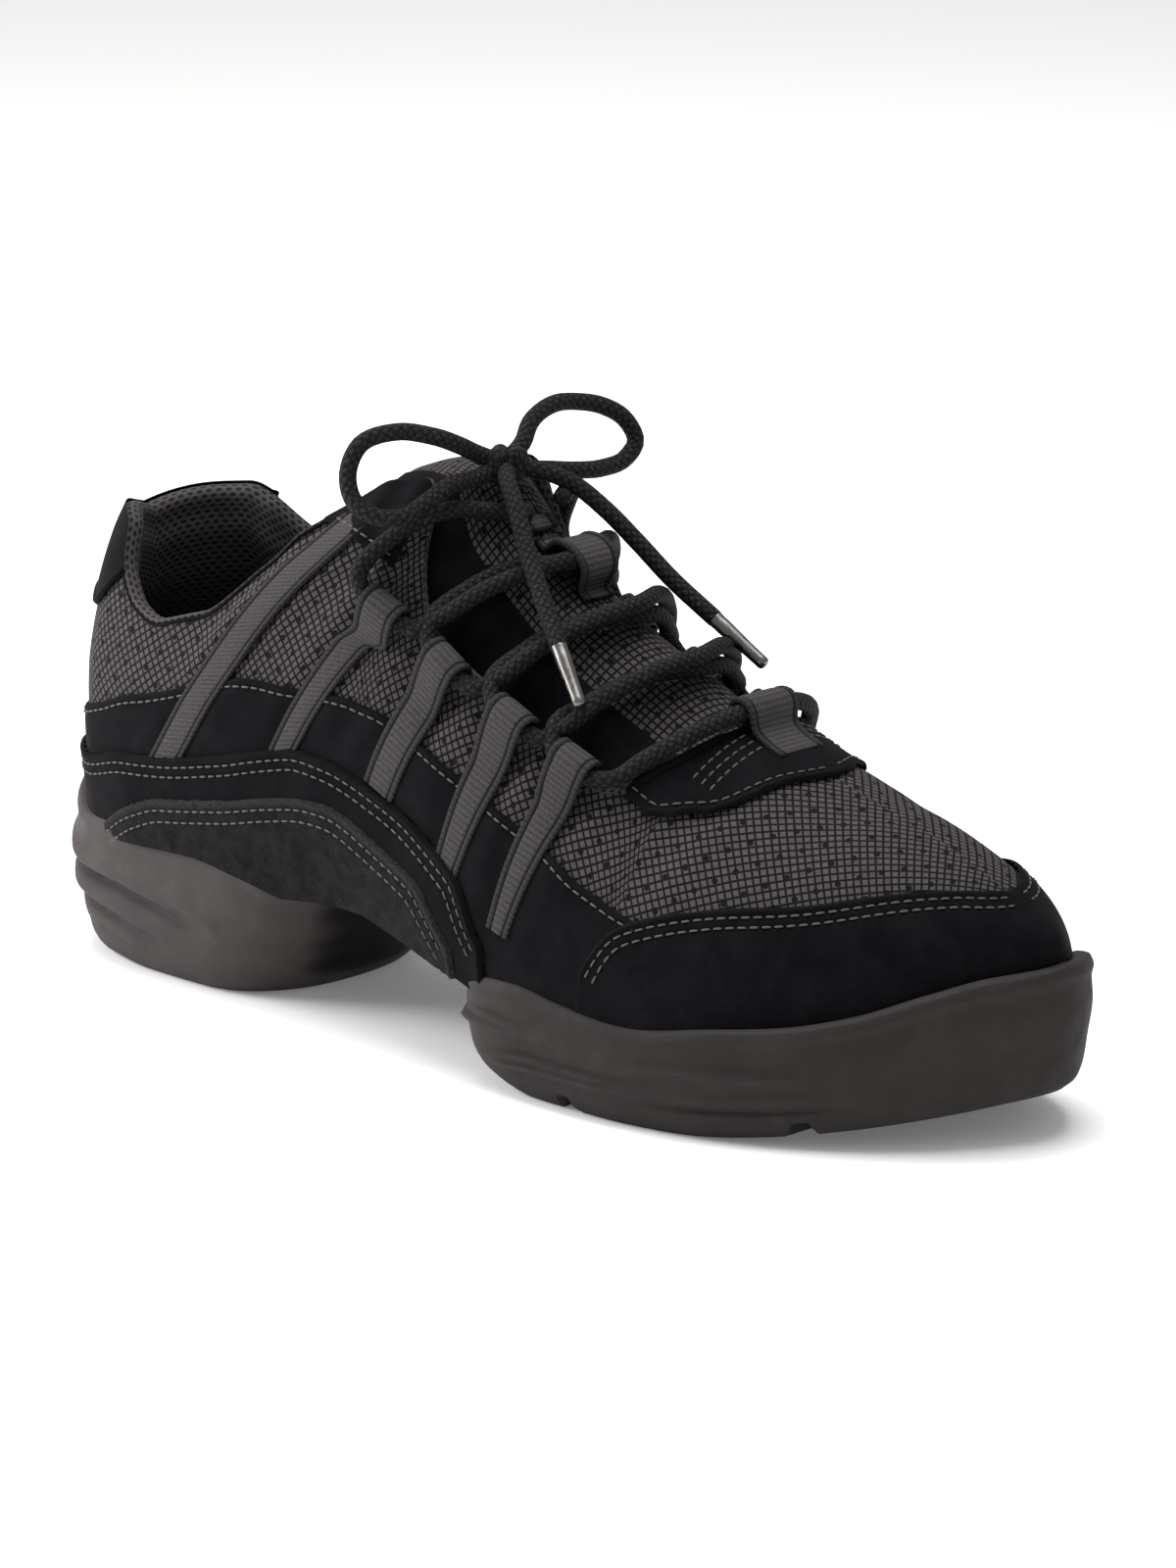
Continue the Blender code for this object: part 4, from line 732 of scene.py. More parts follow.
def make_rubber(options, tone, paint_front_shade):
    """Moulded sole rubber: matt warm grey, faintly grained, rubbed in places. A tone below one is painted
    shade over the whole pod, lifted again at the rear corner by a painted highlight; a front wall is near
    black, painted shade, as the photo's shade shows it."""
    made, tree, shader = new_finish("moulded_rubber")
    worn = ramp(tree, noise(tree, 70.0, 6.0, 0.7), 0.45, 0.8)
    # A tone below one gives a darker copy of the same rubber: painted shade for the forefoot pod.
    pair = [tuple(channel * tone for channel in pale) for pale in (options.sole_colour, options.sole_rubbed_and_highlight)]
    colour = blend_colours(tree, worn, *pair)
    if tone < 1.0:
        # Painted highlight: the rear corner, nearest the light at the heel, is blended back toward the paler
        # rubbed colour.
        spot = add_node(tree, "SeparateXYZ", {0: add_node(tree, "TexCoord", {}).outputs["Object"]})
        rear = ramp(tree, spot.outputs["X"], 0.036, 0.002, 0.0, 0.75)
        colour = blend_colours(tree, rear, colour, options.sole_rubbed_and_highlight)
    # Painted shade: faces turned forward, under the arch, blend to near black.
    if paint_front_shade:
        surface = add_node(tree, "NewGeometry", {})
        facing = add_node(tree, "SeparateXYZ", {"Vector": surface.outputs["Normal"]})
        ahead = ramp(tree, facing.outputs["X"], 0.76, 0.85)
        colour = blend_colours(tree, ahead, colour, options.heel_front_painted_shade)
    grain = calc(tree, "ADD", noise(tree, 2200.0, 2.0), noise(tree, 300.0, 3.0))
    rough = ramp(tree, noise(tree, 200.0), 0.3, 0.7, 0.62, 0.75)
    set_shader(tree, shader, colour, rough, grain, 0.00008, 0.35, **{"Specular IOR Level": 0.12})
    return made


def make_thread(options):
    """Sewing thread: plain grey with a dull shine, so the seams draw thin pale lines on the black."""
    made, tree, shader = new_finish("sewing_thread")
    set_shader(tree, shader, options.thread_colour, 0.6)
    return made


def make_metal(options):
    """Lace tips: pressed steel, lightly scratched."""
    made, tree, shader = new_finish("pressed_steel")
    set_shader(tree, shader, linear("#74726f"), ramp(tree, noise(tree, 600.0), 0.3, 0.7, 0.22, 0.4),
               noise(tree, 900.0), 0.00005, 0.3, Metallic=1.0)
    return made


FINISHES = {}


def make_all_finishes(options):
    """Every finish under its short name."""
    for name, maker in (("mesh", make_mesh_cloth), ("lining", make_lining_cloth), ("nubuck", make_nubuck),
                        ("suede", make_suede), ("webbing", make_tape), ("lace", make_braid),
                        ("thread", make_thread), ("tip", make_metal)):
        FINISHES[name] = maker(options)
    # The forefoot rubber carries painted shade and a painted highlight at its rear corner; the heel pod's
    # front wall carries painted shade.
    FINISHES["sole_front"] = make_rubber(options, options.forefoot_shade_tone, False)
    FINISHES["sole_heel"] = make_rubber(options, 1.0, True)


def heel_rim(share):
    """Height of the heel pod's rim."""
    return read(HEEL_RIM, 1, share) * HEEL_SOLE_RIM


def forefoot_rim(share):
    """Height of the forefoot pod's rim."""
    return read(FOREFOOT_RIM, 1, share) * FOREFOOT_SOLE_RIM


def sole_edge(share):
    """Way up that lies a little under the sole's rim, or at the bottom edge in the arch."""
    heel = np.where(share < HEEL_SOLE_END + 0.006, heel_rim(share), 0.0)
    ball = np.where(share > FOREFOOT_SOLE_START - 0.006, forefoot_rim(share), 0.0)
    rim = np.maximum(np.maximum(heel, ball), bottom_edge(share))
    return way_up(share, rim - 2.5 * MM)


def run_stations(start, end, spacing=1.3):
    """Stations close enough for fine cloth, crowded at round ends and at free ends."""
    low, high = float(turn_of(start)), float(turn_of(end))
    count = int((end - start) * SOLE_LENGTH / MM / spacing) + 14
    turns = np.linspace(low, high, count)
    fine = np.array([0.25, 0.7]) * MM / SOLE_LENGTH
    shares = np.concatenate([share_of(turns), start + fine, end - fine])
    return np.unique(np.clip(shares, start, end))


def inset_line(share, up, side, distance):
    """The line that runs at a distance from an edge, to the side of lower ways up: the step at right
    angles to the edge, solved for a share of the length and a share of the way up."""
    points = place(share, up, side)
    along, rising = gradient_on_form(share, up, side)
    way = np.gradient(points, axis=0)
    way /= np.maximum(np.linalg.norm(way, axis=-1, keepdims=True), 1e-9)
    normal = np.cross(along, rising)
    normal /= np.linalg.norm(normal, axis=-1, keepdims=True)
    inward = np.cross(way, normal)
    inward *= np.where((inward * rising).sum(-1, keepdims=True) > 0, -1.0, 1.0)
    if distance < 0:
        inward, distance = -inward, -distance
    aa, bb, ab = (along ** 2).sum(-1), (rising ** 2).sum(-1), (along * rising).sum(-1)
    da, db = (inward * along).sum(-1) * distance, (inward * rising).sum(-1) * distance
    det = aa * bb - ab ** 2
    return share + (da * bb - db * ab) / det, up + (db * aa - da * ab) / det


def edge_distance(points, lines):
    """Distance of every point to the nearest of some edge lines."""
    marks = np.concatenate([through(line, 0.0006) for line in lines])
    flat = points.reshape(-1, 3)
    near = np.empty(len(flat))
    for first in range(0, len(flat), 4000):
        block = flat[first:first + 4000]
        squares = (block ** 2).sum(1)[:, None] + (marks ** 2).sum(1)[None, :] - 2 * block @ marks.T
        near[first:first + 4000] = np.sqrt(np.maximum(squares.min(1), 0))
    return near.reshape(points.shape[:-1])


def overlay_sheet(share, side, low, high, thick, borders, rolled, dents, rows):
    """Sheet between two edges whose height falls as a quarter circle at its borders, with a rolled lip
    and a soft dent under each row of stitches."""
    steps = low[:, None] + (high - low)[:, None] * np.linspace(0, 1, 5)[None, :]
    span = np.maximum(runs(place(share[:, None], steps, side), 1)[:, -1:], 1e-5)
    near = EDGE_ROWS[None, :] * np.minimum(1, span * 0.42 / EDGE_ROWS[-1])
    between = near[:, -1:] + (span - 2 * near[:, -1:]) * np.linspace(0, 1, rows + 2)[None, 1:-1]
    down = np.concatenate([near, between, (span - near)[:, ::-1]], 1)
    up = low[:, None] + (high - low)[:, None] * down / span
    grid = np.repeat(share[:, None], up.shape[1], 1)
    away = edge_distance(place(grid, up, side), borders)
    height = thick * quarter_round(away / (0.8 * MM))
    height += rolled * np.exp(-((away - 0.9 * MM) / (0.7 * MM)) ** 2)
    for dent in dents:
        height -= DENT_DEPTH * np.exp(-((away - dent) / (0.5 * MM)) ** 2)
    points, ways, lengths = on_form(grid, up, side, height - OVERLAY_SINK)
    return points, ways, np.stack([lengths[..., 0], away / MM], -1)


def stitch_line(share, up, side, distance, lift):
    """Points and way out of a seam that runs at a distance from an edge."""
    at, way = inset_line(share, up, side, distance)
    keep = (way > 0) & (way < 1) & (at > 0.00002) & (at < 0.99998)
    at, way = at[keep], way[keep]
    points = lay(at, way, side, lift)
    return points, lay(at, way, side, lift + MM) - points


def end_line(at, low, high, side):
    """Line up the form at one station, which closes an overlay's end."""
    return place(np.full(ENDS, at), np.linspace(low, high, ENDS), side)


def stitch_sheets(lines, options):
    """Small rounded bars along seams, at even steps: each is a ring of seven points swept along six, thin
    and sunk at both ends, as thread pulled into leather is."""
    starts, ends, outs = [], [], []
    for points, out in lines:
        run = np.concatenate([[0], np.cumsum(np.linalg.norm(np.diff(points, axis=0), axis=1))])
        at = np.arange(0.0, run[-1] - options.stitch_length, options.stitch_length + options.stitch_gap)
        for made, shift in ((starts, 0.0), (ends, options.stitch_length)):
            made.append(np.stack([np.interp(at + shift, run, points[:, k]) for k in range(3)], 1))
        outs.append(np.stack([np.interp(at, run, out[:, k]) for k in range(3)], 1))
    start, end, out = np.concatenate(starts), np.concatenate(ends), np.concatenate(outs)
    out /= np.linalg.norm(out, axis=1, keepdims=True)
    along = (end - start) / np.linalg.norm(end - start, axis=1, keepdims=True)
    across = np.cross(along, out)
    radius = options.thread_width / 2
    part, size = np.array([0.0, 0.08, 0.3, 0.7, 0.92, 1.0]), np.array([0.0, 0.75, 1.0, 1.0, 0.75, 0.0])
    angle = np.linspace(0, 2 * math.pi, 7)
    ring = (np.cos(angle)[None, None, :, None] * out[:, None, None] + np.sin(angle)[None, None, :, None]
            * across[:, None, None])
    spine = start[:, None] + (end - start)[:, None] * part[None, :, None]
    spine = spine + out[:, None] * ((size - 0.7) * radius)[None, :, None]
    grid = spine[:, :, None] + ring * (radius * size)[None, :, None, None]
    ways = ring + 0 * grid + along[:, None, None] * ((part - 0.5) * 0.5)[None, :, None, None]
    blank = np.zeros((*grid.shape[1:3], 2))
    return [(bar, way, blank) for bar, way in zip(grid, ways)]


def overlay_plan():
    """Every leather overlay on both sides: its name, finish, stations with low and high edge, thickness,
    rolled lip, dents, edge lines and rows of stitches. A seam is a line with its distance from it and
    its height. Sheets that lie under a neighbour run on by the tuck."""
    plan = []
    tuck = 0.045

    def stretch(name, slot_name, side, share, low, high, thick, rolled, dents, borders, seams, rows=14):
        """Adds one overlay, with every length in millimetres."""
        plan.append({"name": name, "slot": slot_name, "side": side, "share": share,
                     "low": np.minimum(low, high - 0.002), "high": high, "thick": thick * MM,
                     "rolled": rolled * MM, "dents": [dent * MM for dent in dents], "borders": borders,
                     "seams": [(*line, off * MM, lift * MM) for *line, off, lift in seams], "rows": rows})

    for side in SIDES:
        share = run_stations(0.0, BAND_END)
        high = read(BAND_TOP, 1, share)
        low = np.maximum(np.where(share < ARCH_END, read(ARCH_TOP, 1, share) - tuck, 0), sole_edge(share))
        lines = [place(share, high, side), end_line(BAND_END, low[-1], high[-1], side)]
        stretch("side_band", "nubuck", side, share, low, high, 1.15, 0.1, (1.8,), lines,
                [(share, high, 1.8, 1.05)])
        share = run_stations(0.0, ARCH_END)
        high = read(ARCH_TOP, 1, share)
        suede = np.where((share > 0.10) & (share < 0.535), read(SUEDE_TOP, 1, share) - tuck, 0)
        low = np.maximum(suede, sole_edge(share))
        lines = [place(share, high, side), end_line(ARCH_END, low[-1], high[-1], side)]
        stretch("arch_band", "nubuck", side, share, low, high, 2.3, 0.35, (2.3, 4.5), lines,
                [(share, high, 2.3, 2.15), (share, high, 4.5, 2.15)], 20)
        share = run_stations(*PATCH)
        high = read(SUEDE_TOP, 1, share)
        low = np.minimum(sole_edge(share), high - 0.01)
        lines = [place(share, high, side), end_line(PATCH[0], low[0], high[0], side),
                 end_line(PATCH[1], low[-1], high[-1], side)]
        stretch("arch_patch", "suede", side, share, low, high, 3.2, 0.15, (2.6, 5.2), lines,
                [(share, high, 2.6, 3.0), (share, high, 5.2, 3.0)], 18)
        share = run_stations(*EYESTAY)
        high = topline(share, side) - 0.004
        low = read(EYESTAY_LOW, 1, share)
        lines = [place(share, low, side), place(share, high, side),
                 end_line(EYESTAY[0], low[0], high[0], side), end_line(EYESTAY[1], low[-1], high[-1], side)]
        sewn = share > 0.302
        stretch("eyestay", "nubuck", side, share, low, high, 1.3, 0.2, (), lines,
                [(share[sewn], low[sewn], -2.0, 1.25)])
        share = run_stations(0.0, TAB_END, 0.8)
        high = topline(share, side) + 0.004
        low = 0.425 + (high - 0.430) * np.clip((share - 0.040) / 0.042, 0, 1) ** 2.2
        lines = [place(share, low, side)]
        stretch("heel_tab", "nubuck", side, share, low, high, 1.1, 0.5, (), lines, [], 26)
        share = run_stations(CAP_START, 1.0)
        high = np.where(share < 0.9525, read(CAP_TOP, 1, share), 1.0)
        low = sole_edge(share)
        free = share < 0.957
        edge = (share[free], np.minimum(read(CAP_TOP, 1, share), 1.0)[free])
        lines = [place(*edge, side), end_line(CAP_START, low[0], high[0], side)]
        stretch("toe_cap", "nubuck", side, share, low, high, 1.5, 0.25, (2.3, 4.6), lines,
                [(*edge, 2.3, 1.35), (*edge, 4.6, 1.35)], 40)
        share = run_stations(*SADDLE, 0.7)
        run = (share - SADDLE[0]) * SOLE_LENGTH / MM
        plain = read(SADDLE_LOW, 1, share)
        low = np.minimum(plain + 0.010 * np.abs(np.sin(run * math.pi / 6.0)), 0.999)
        throat = share < THROAT_END
        high = np.where(throat, topline(share, side) - 0.004, 1.0)
        lines = [place(share, low, side), place(share[throat], high[throat], side),
                 end_line(SADDLE[0], low[0], high[0], side)]
        seams = [(share, np.minimum(plain + 0.010, 0.99), -2.2, 1.5)]
        for gap in (2.4, 4.8, 7.2):
            at = np.full(30, THROAT_END) - 0.002 + gap * MM / SOLE_LENGTH
            seams.append((at, np.linspace(0.72, 0.93, 30), 0.0, 1.5))
        stretch("saddle", "nubuck", side, share, low, high, 1.65, 0.2, (2.2,), lines, seams, 18)
    return plan


SHEET_KEYS = ("share", "side", "low", "high", "thick", "borders", "rolled", "dents", "rows")
OVERLAY_NODES = {"side_band": ("side_band",), "arch_band": ("arch_band",), "heel_tab": ("heel_tab",),
                 "toe_cap": ("toe_cap",), "saddle": ("saddle",),
                 "arch_patch": ("arch_patch_outer", "arch_patch_inner"),
                 "eyestay": ("eyestay_outer", "eyestay_inner")}


def build_overlays(options):
    """Leather overlays, each a sheet between two edges on the form, then all stitches as one piece."""
    plan = overlay_plan()
    for name, nodes in OVERLAY_NODES.items():
        rows = [row for row in plan if row["name"] == name]
        sheets = [overlay_sheet(*(row[key] for key in SHEET_KEYS)) for row in rows]
        build(name + "_leather", sheets, rows[0]["slot"], rows[0]["slot"], *nodes)
    lines = [stitch_line(share, up, row["side"], distance, lift)
             for row in plan for share, up, distance, lift in row["seams"]]
    build("stitches", stitch_sheets([line for line in lines if len(line[0]) > 3], options),
          "thread", "lace")


def build_upper(options):
    """Cloth over both sides, closed at heel, toe and vamp, in rows that run parallel to the topline. The
    weave is turned in the quarters, and measured from the ridge ahead of the last strap. Then the base
    of the arch: straight lines across from edge to edge, slightly hollow."""
    share = share_of(np.linspace(0, 1, 240))
    part = np.linspace(0, 1, 56)[None, :]
    sheets = []
    rear_low, front_low, up_low, rear_high, front_high, up_high = STRAPS[-1][:6]
    c, s = math.cos(math.radians(WEAVE_TURN)), math.sin(math.radians(WEAVE_TURN))
    for side in SIDES:
        up = topline(share, side)[:, None] * part
        grid_share = np.repeat(share[:, None], part.size, 1)
        grid, out, _ = on_form(grid_share, up, side, 0 * up)
        above = np.clip((up - up_low) / (up_high - up_low), -0.5, 2.0)
        seam = (rear_low + front_low) / 2 + (rear_high + front_high - rear_low - front_low) / 2 * above
        risen = runs(grid, 1) / MM
        ahead = runs(grid, 0)[:, 20, None] / MM + 0 * up
        whole = runs(place(share[:, None], np.linspace(0, 1, 40)[None, :], side), 1)[:, -1:] / MM
        down = side * (whole - risen)
        quarter = np.stack([ahead * c + risen * s, risen * c - ahead * s], -1)
        vamp = np.stack([ahead * c + down * s, down * c - ahead * s], -1)
        uv = np.where((grid_share > seam)[..., None], vamp, quarter)
        sheets.append((grid, out, uv))
    build("upper_cloth", sheets, "mesh", "mesh", "upper")
    share = share_of(np.linspace(0.02, 0.98, 120))
    near, far = place(share, 0.0, -1.0), place(share, 0.0, 1.0)
    across = np.linspace(0, 1, 24)[None, :, None]
    grid = near[:, None] * (1 - across) + far[:, None] * across
    grid[..., 2] -= 0.0015 * (1 - (2 * across[..., 0] - 1) ** 4)
    uv = grid[..., :2] / MM
    build("arch_base", [(grid, np.array([0.0, 0.0, -1.0]), uv)], "suede", "suede")


def wall_at(share, up, top):
    """Thickness of the wall, with the collar's pad, which thins out towards its edge."""
    padded = smooth((0.345 - share) / 0.07) * smooth((up / np.maximum(top, 1e-3) - 0.45) / 0.3)
    return UPPER_WALL + COLLAR_PAD * padded * (1 - 0.6 * np.clip(up / np.maximum(top, 1e-3), 0, 1) ** 12)


def climb(share, up, side):
    """Length run over the form for each share of the way up."""
    return np.linalg.norm(gradient_on_form(share, up, side)[1], axis=-1)


def build_lining(options):
    """Piping along the collar, a lining that rolls over its edge by the roll's profile and runs down
    inside at the wall's depth, and the insole, a sheet across with its border turned up."""
    share = share_of(np.linspace(0, float(turn_of(0.72)), 170))
    sheets = []
    for side in SIDES:
        top = topline(share, side)
        slope = climb(share, top, side)
        collar = smooth((0.325 - share) / 0.03)[:, None, None]
        profile = (COLLAR_ROLL * MM)[None] * collar + (THROAT_ROLL * MM)[None] * (1 - collar)
        up = top[:, None] - profile[..., 0] / slope[:, None]
        down = np.linspace(0, 1, 34)[None, 1:]
        below = up[:, -1:] * (1 - down) + INSOLE_UP * down
        wall = wall_at(share[:, None], below, top[:, None])
        settle = smooth(down / 0.12)
        inner = profile[:, -1:, 1] * (1 - settle) - wall * settle
        ups = np.concatenate([up, below], 1)
        lifts = np.concatenate([profile[..., 1], inner], 1)
        grid_share = np.repeat(share[:, None], ups.shape[1], 1)
        grid = lay(grid_share, ups, side, lifts)
        out = np.cross(np.gradient(grid, axis=0), np.gradient(grid, axis=1)) * side
        uv = np.stack(np.broadcast_arrays(runs(grid, 0)[:, 10, None] / MM, runs(grid, 1) / MM), -1)
        sheets.append((grid, out, uv))
    share = share_of(np.linspace(float(turn_of(0.002)), float(turn_of(0.31)), 150))
    lines = []
    for side in SIDES:
        top = topline(share, side)
        lines.append(lay(share, top - 1.25 * MM / climb(share, top, side), side, 0.15 * MM))
    line = np.concatenate([lines[0][::-1], lines[1]])
    build("collar_piping", [tube(through(line, 0.0015), 0.4 * MM, 8)], "nubuck", "nubuck")
    build("collar_lining", sheets, "lining", "lining")
    share = share_of(np.linspace(0.04, 0.965, 110))
    inset = UPPER_WALL + 0.6 * MM
    near, far = place(share, 0.02, -1.0, -inset), place(share, 0.02, 1.0, -inset)
    across = np.linspace(0, 1, 30)[None, :, None]
    high = near[:, None] * (1 - across) + far[:, None] * across
    cup = np.abs(2 * across[..., 0] - 1) ** 6
    high[..., 2] = (bottom_edge(share) + BOARD + INSOLE_THICKNESS)[:, None] + 1.2 * MM * cup
    sock = (high, np.array([0.0, 0.0, 1.0]), high[..., :2] / MM)
    build("insole_sock", [sock], "lining", "lining", "insole")


def build_tongue(options):
    """Padded tongue: a shell thicker along its middle, rounded at its free edges, with a panel of nubuck
    over each side."""
    share = run_stations(*TONGUE, 2.0)
    part = np.sin(np.linspace(-1, 1, 61) * math.pi / 2)[None, :]
    low = read(TONGUE_LOW, 1, share)[:, None]
    up = 1 - (1 - low) * np.abs(part)
    side = np.broadcast_to(np.where(part < 0, -1.0, 1.0), up.shape)
    grid_share = np.repeat(share[:, None], part.shape[1], 1)
    from_end = (share[:, None] - TONGUE[0]) * SOLE_LENGTH / (3 * MM)
    full = quarter_round(np.minimum(from_end, (1 - np.abs(part)) * 12))
    rest = UPPER_WALL + 1.0 * MM + 1.0 * MM * smooth((share[:, None] - 0.62) / 0.05)
    puff = 0.5 * MM * (1 - part ** 2)
    thick = (2.2 * MM + 2.3 * MM * (1 - np.abs(part) ** 3)) * full
    middle = -rest - 2.2 * MM
    over = place(grid_share, up, side, middle + thick * 0.5 + puff * full)
    under = place(grid_share, up, side, middle - thick * 0.5)
    out = place(grid_share, up, side, MM + 0 * up) - place(grid_share, up, side)
    ahead, around = runs(over, 0)[:, 30, None] / MM, runs(over, 1)[len(share) // 2][None, :] / MM
    uv = np.stack(np.broadcast_arrays(ahead, around), -1)
    tongue = build("tongue_pad", [(over, out, uv), (under, -out, uv)], "mesh", "mesh", "tongue")
    sides = []
    for sign in SIDES:
        strip = np.linspace(0.46, 0.985, 22)[None, :]
        up = 1 - (1 - low) * strip
        grid_share = np.repeat(share[:, None], strip.size, 1)
        full = quarter_round(np.minimum(from_end, (1 - strip) * 12))
        raised = 0.5 * MM * smooth((strip - 0.46) / 0.03) * full
        thick = (2.2 * MM + 2.3 * MM * (1 - strip ** 3)) * full
        puff = 0.5 * MM * (1 - strip ** 2) * full
        over = place(grid_share, up, sign, middle + thick * 0.5 + puff - 0.1 * MM + raised)
        out = place(grid_share, up, sign, MM + 0 * up) - place(grid_share, up, sign)
        sides.append((over, out, over[..., :2] / MM))
    build("tongue_sides", sides, "nubuck", "nubuck")


def tape_sheets(points):
    """Closed band around rows of rear and front points: flat in the middle, with rolled edges. Each row
    is the way across times the roll's place, and the band's normal times the roll's height."""
    rows = through(points, 0.0011)
    rear, front = rows[:, 0], rows[:, -1]
    rear, front = rear * 0.95 + front * 0.05, front * 0.95 + rear * 0.05
    across = front - rear
    width = np.linalg.norm(across, axis=1, keepdims=True)
    across = across / width
    along = np.gradient(rows.mean(1), axis=0)
    normal = np.cross(along, across)
    normal /= np.linalg.norm(normal, axis=1, keepdims=True)
    half = width * 0.5 / MM
    roll_at = np.minimum(TAPE_ROLL[:, 0], half * 0.95)
    roll_up = np.broadcast_to(TAPE_ROLL[:, 1], roll_at.shape)
    over_at = np.concatenate([roll_at, half, 2 * half - roll_at[:, ::-1]], 1)
    over_up = np.concatenate([roll_up, np.full((len(rows), 1), TAPE_HALF), roll_up[:, ::-1]], 1)
    at = np.concatenate([over_at, over_at[:, -2::-1]], 1)
    lift = np.concatenate([over_up, -np.minimum(over_up[:, -2::-1], TAPE_HALF)], 1)
    grid = rear[:, None] + across[:, None] * (at * MM)[..., None] + normal[:, None] * (lift * MM)[..., None]
    first, last = (row.mean(1, keepdims=True) + 0 * row for row in (grid[:1], grid[-1:]))
    centre = rows.mean(1)[:, None]
    out = normal[:, None] * np.sign(lift)[..., None] + (grid - centre) * 20
    grid = np.concatenate([first, grid, last])
    out = np.concatenate([out[:1] * 0 - along[:1, None], out, out[-1:] * 0 + along[-1:, None]])
    run = np.concatenate([[0], np.cumsum(np.linalg.norm(np.diff(centre[:, 0], axis=0), axis=1))])
    run = np.concatenate([run[:1], run, run[-1:]])
    edge_off = np.minimum(at, 2 * half - at)
    edge_off = np.concatenate([edge_off[:1], edge_off, edge_off[-1:]])
    uv = np.stack(np.broadcast_arrays(run[:, None] / MM, edge_off), -1)
    return [(grid, out, uv)]


def fold_around_lace(rear, front, up_rear, up_front, along, side):
    """Fold of tape around the lace: lead-in and ring, at a steady distance from the lace's middle."""
    bend = LACE / 2 + 0.9 * MM
    lace = lay(np.array([rear, front]), np.array([up_rear, up_front]), side, 0.95 * LACE)
    foot = lay(np.array([rear, front]), np.array([up_rear, up_front]), side)
    across = lace[1] - lace[0]
    across /= np.linalg.norm(across)
    out = (lace - foot).mean(0)
    out -= across * out.dot(across)
    out /= np.linalg.norm(out)
    onward = along - across * along.dot(across) - out * along.dot(out)
    onward /= np.linalg.norm(onward)
    folds = [(-2.1, -0.55), (-1.45, 0.10)]
    folds += [(math.cos(math.radians(angle)), math.sin(math.radians(angle)))
              for angle in (140, 105, 70, 35, 0, -35, -70, -100)]
    return np.array([lace + bend * (step * onward + rise * out) for step, rise in folds])


def strap_rows(row, side):
    """Rows of rear and front points of one strap: straight up the form from its foot, tucked under the
    band, then, where it has a loop, three rounds of averaging with the neighbours and the fold."""
    rear_low, front_low, up_low, rear_high, front_high, up_rear, up_front, looped = row
    part = np.linspace(-0.16 if up_low > 0.2 else 0.0, 1.0 if looped else 1.35, 15)
    share, ups = (np.stack([low + (high - low) * part for low, high in pairs], 1)
                  for pairs in (((rear_low, rear_high), (front_low, front_high)),
                                ((up_low, up_rear), (up_low, up_front))))
    tucked = smooth((read(BAND_TOP, 1, share) + 0.03 - ups) / 0.05)
    points = lay(share, ups, side, STRAP_LIFT + 0.1 * MM * tucked)
    if looped:
        top = points.mean(1)
        away = np.linalg.norm(top[-1] - top, axis=1)
        fold = fold_around_lace(rear_high, front_high, up_rear, up_front, top[-1] - top[-2], side)
        points = points[away > 2.5 * LACE]
        for _ in range(3):
            points[1:-1] = (points[:-2] + 2 * points[1:-1] + points[2:]) / 4
        points = np.concatenate([points, fold])
    return points


def over_ridge(share, step, lift):
    """Points across the ridge: step is the way down from it, below zero on the outer side."""
    share, step = np.broadcast_arrays(np.asarray(share, float), np.asarray(step, float))
    return place(share, 1 - np.abs(step), np.where(step < 0, -1.0, 1.0), lift)


def build_ridge_tape(name, path, half, node):
    """Tape along the ridge, through rows of a near, a middle and a far point."""
    share, height = np.array(path).T
    rows = over_ridge(share[:, None], np.array([[-half, 0.0, half]]), height[:, None])
    build(name, tape_sheets(rows), "webbing", "webbing", node)


def build_tape(options):
    """Webbing: the straps on both sides, the throat's loop around the lace and the tongue's keepers."""
    for word, side in (("outer", -1.0), ("inner", 1.0)):
        for number, row in enumerate(STRAPS, 1):
            build(f"tape_{word}_{number}", tape_sheets(strap_rows(row, side)), "webbing", "webbing",
                  f"strap_{word}_{number}")
    neck, _, lace_height, _ = LACE_ROUTE[0]
    around = LACE / 2 + 1.0 * MM
    path = [(0.742, 1.9 * MM), (0.726, 2.1 * MM), (0.713, 2.9 * MM)]
    for angle in (125, 90, 55, 20, -15, -50, -80, -105):
        path.append((neck - around * math.cos(math.radians(angle)) / SOLE_LENGTH,
                     lace_height * LACE + around * math.sin(math.radians(angle))))
    build_ridge_tape("throat_tape", path, 0.085, "throat_loop")
    seat = -1.6 * MM
    path = [(0.444, seat), (0.450, seat + 0.3 * MM), (0.456, seat)]
    build_ridge_tape("keeper_tape_rear", path, 0.075, "keeper_rear")
    top = 5.6 * MM
    rise = ((-0.038, seat), (-0.029, seat), (-0.021, top - 1.9 * MM), (-0.010, top), (0.004, top),
            (0.012, top - 1.5 * MM), (0.020, seat), (0.028, seat))
    path = [(0.500 + step, height) for step, height in rise]
    build_ridge_tape("keeper_tape_front", path, 0.075, "keeper_front")


def build_lace_run(options):
    """One lace from the knot down to the throat loop and back, over and under itself where it crosses."""
    share, step, height, over = np.array(LACE_ROUTE).T
    outer, inner = (over_ridge(share, step * way, (height + OVER_UNDER * over * way) * LACE)
                    for way in SIDES)
    line = through(np.concatenate([outer[::-1], inner[1:]]), 0.0014)
    build("lace_run", [tube(line, LACE_SEEN / 2)], "lace", "lace", "lace_crossings")


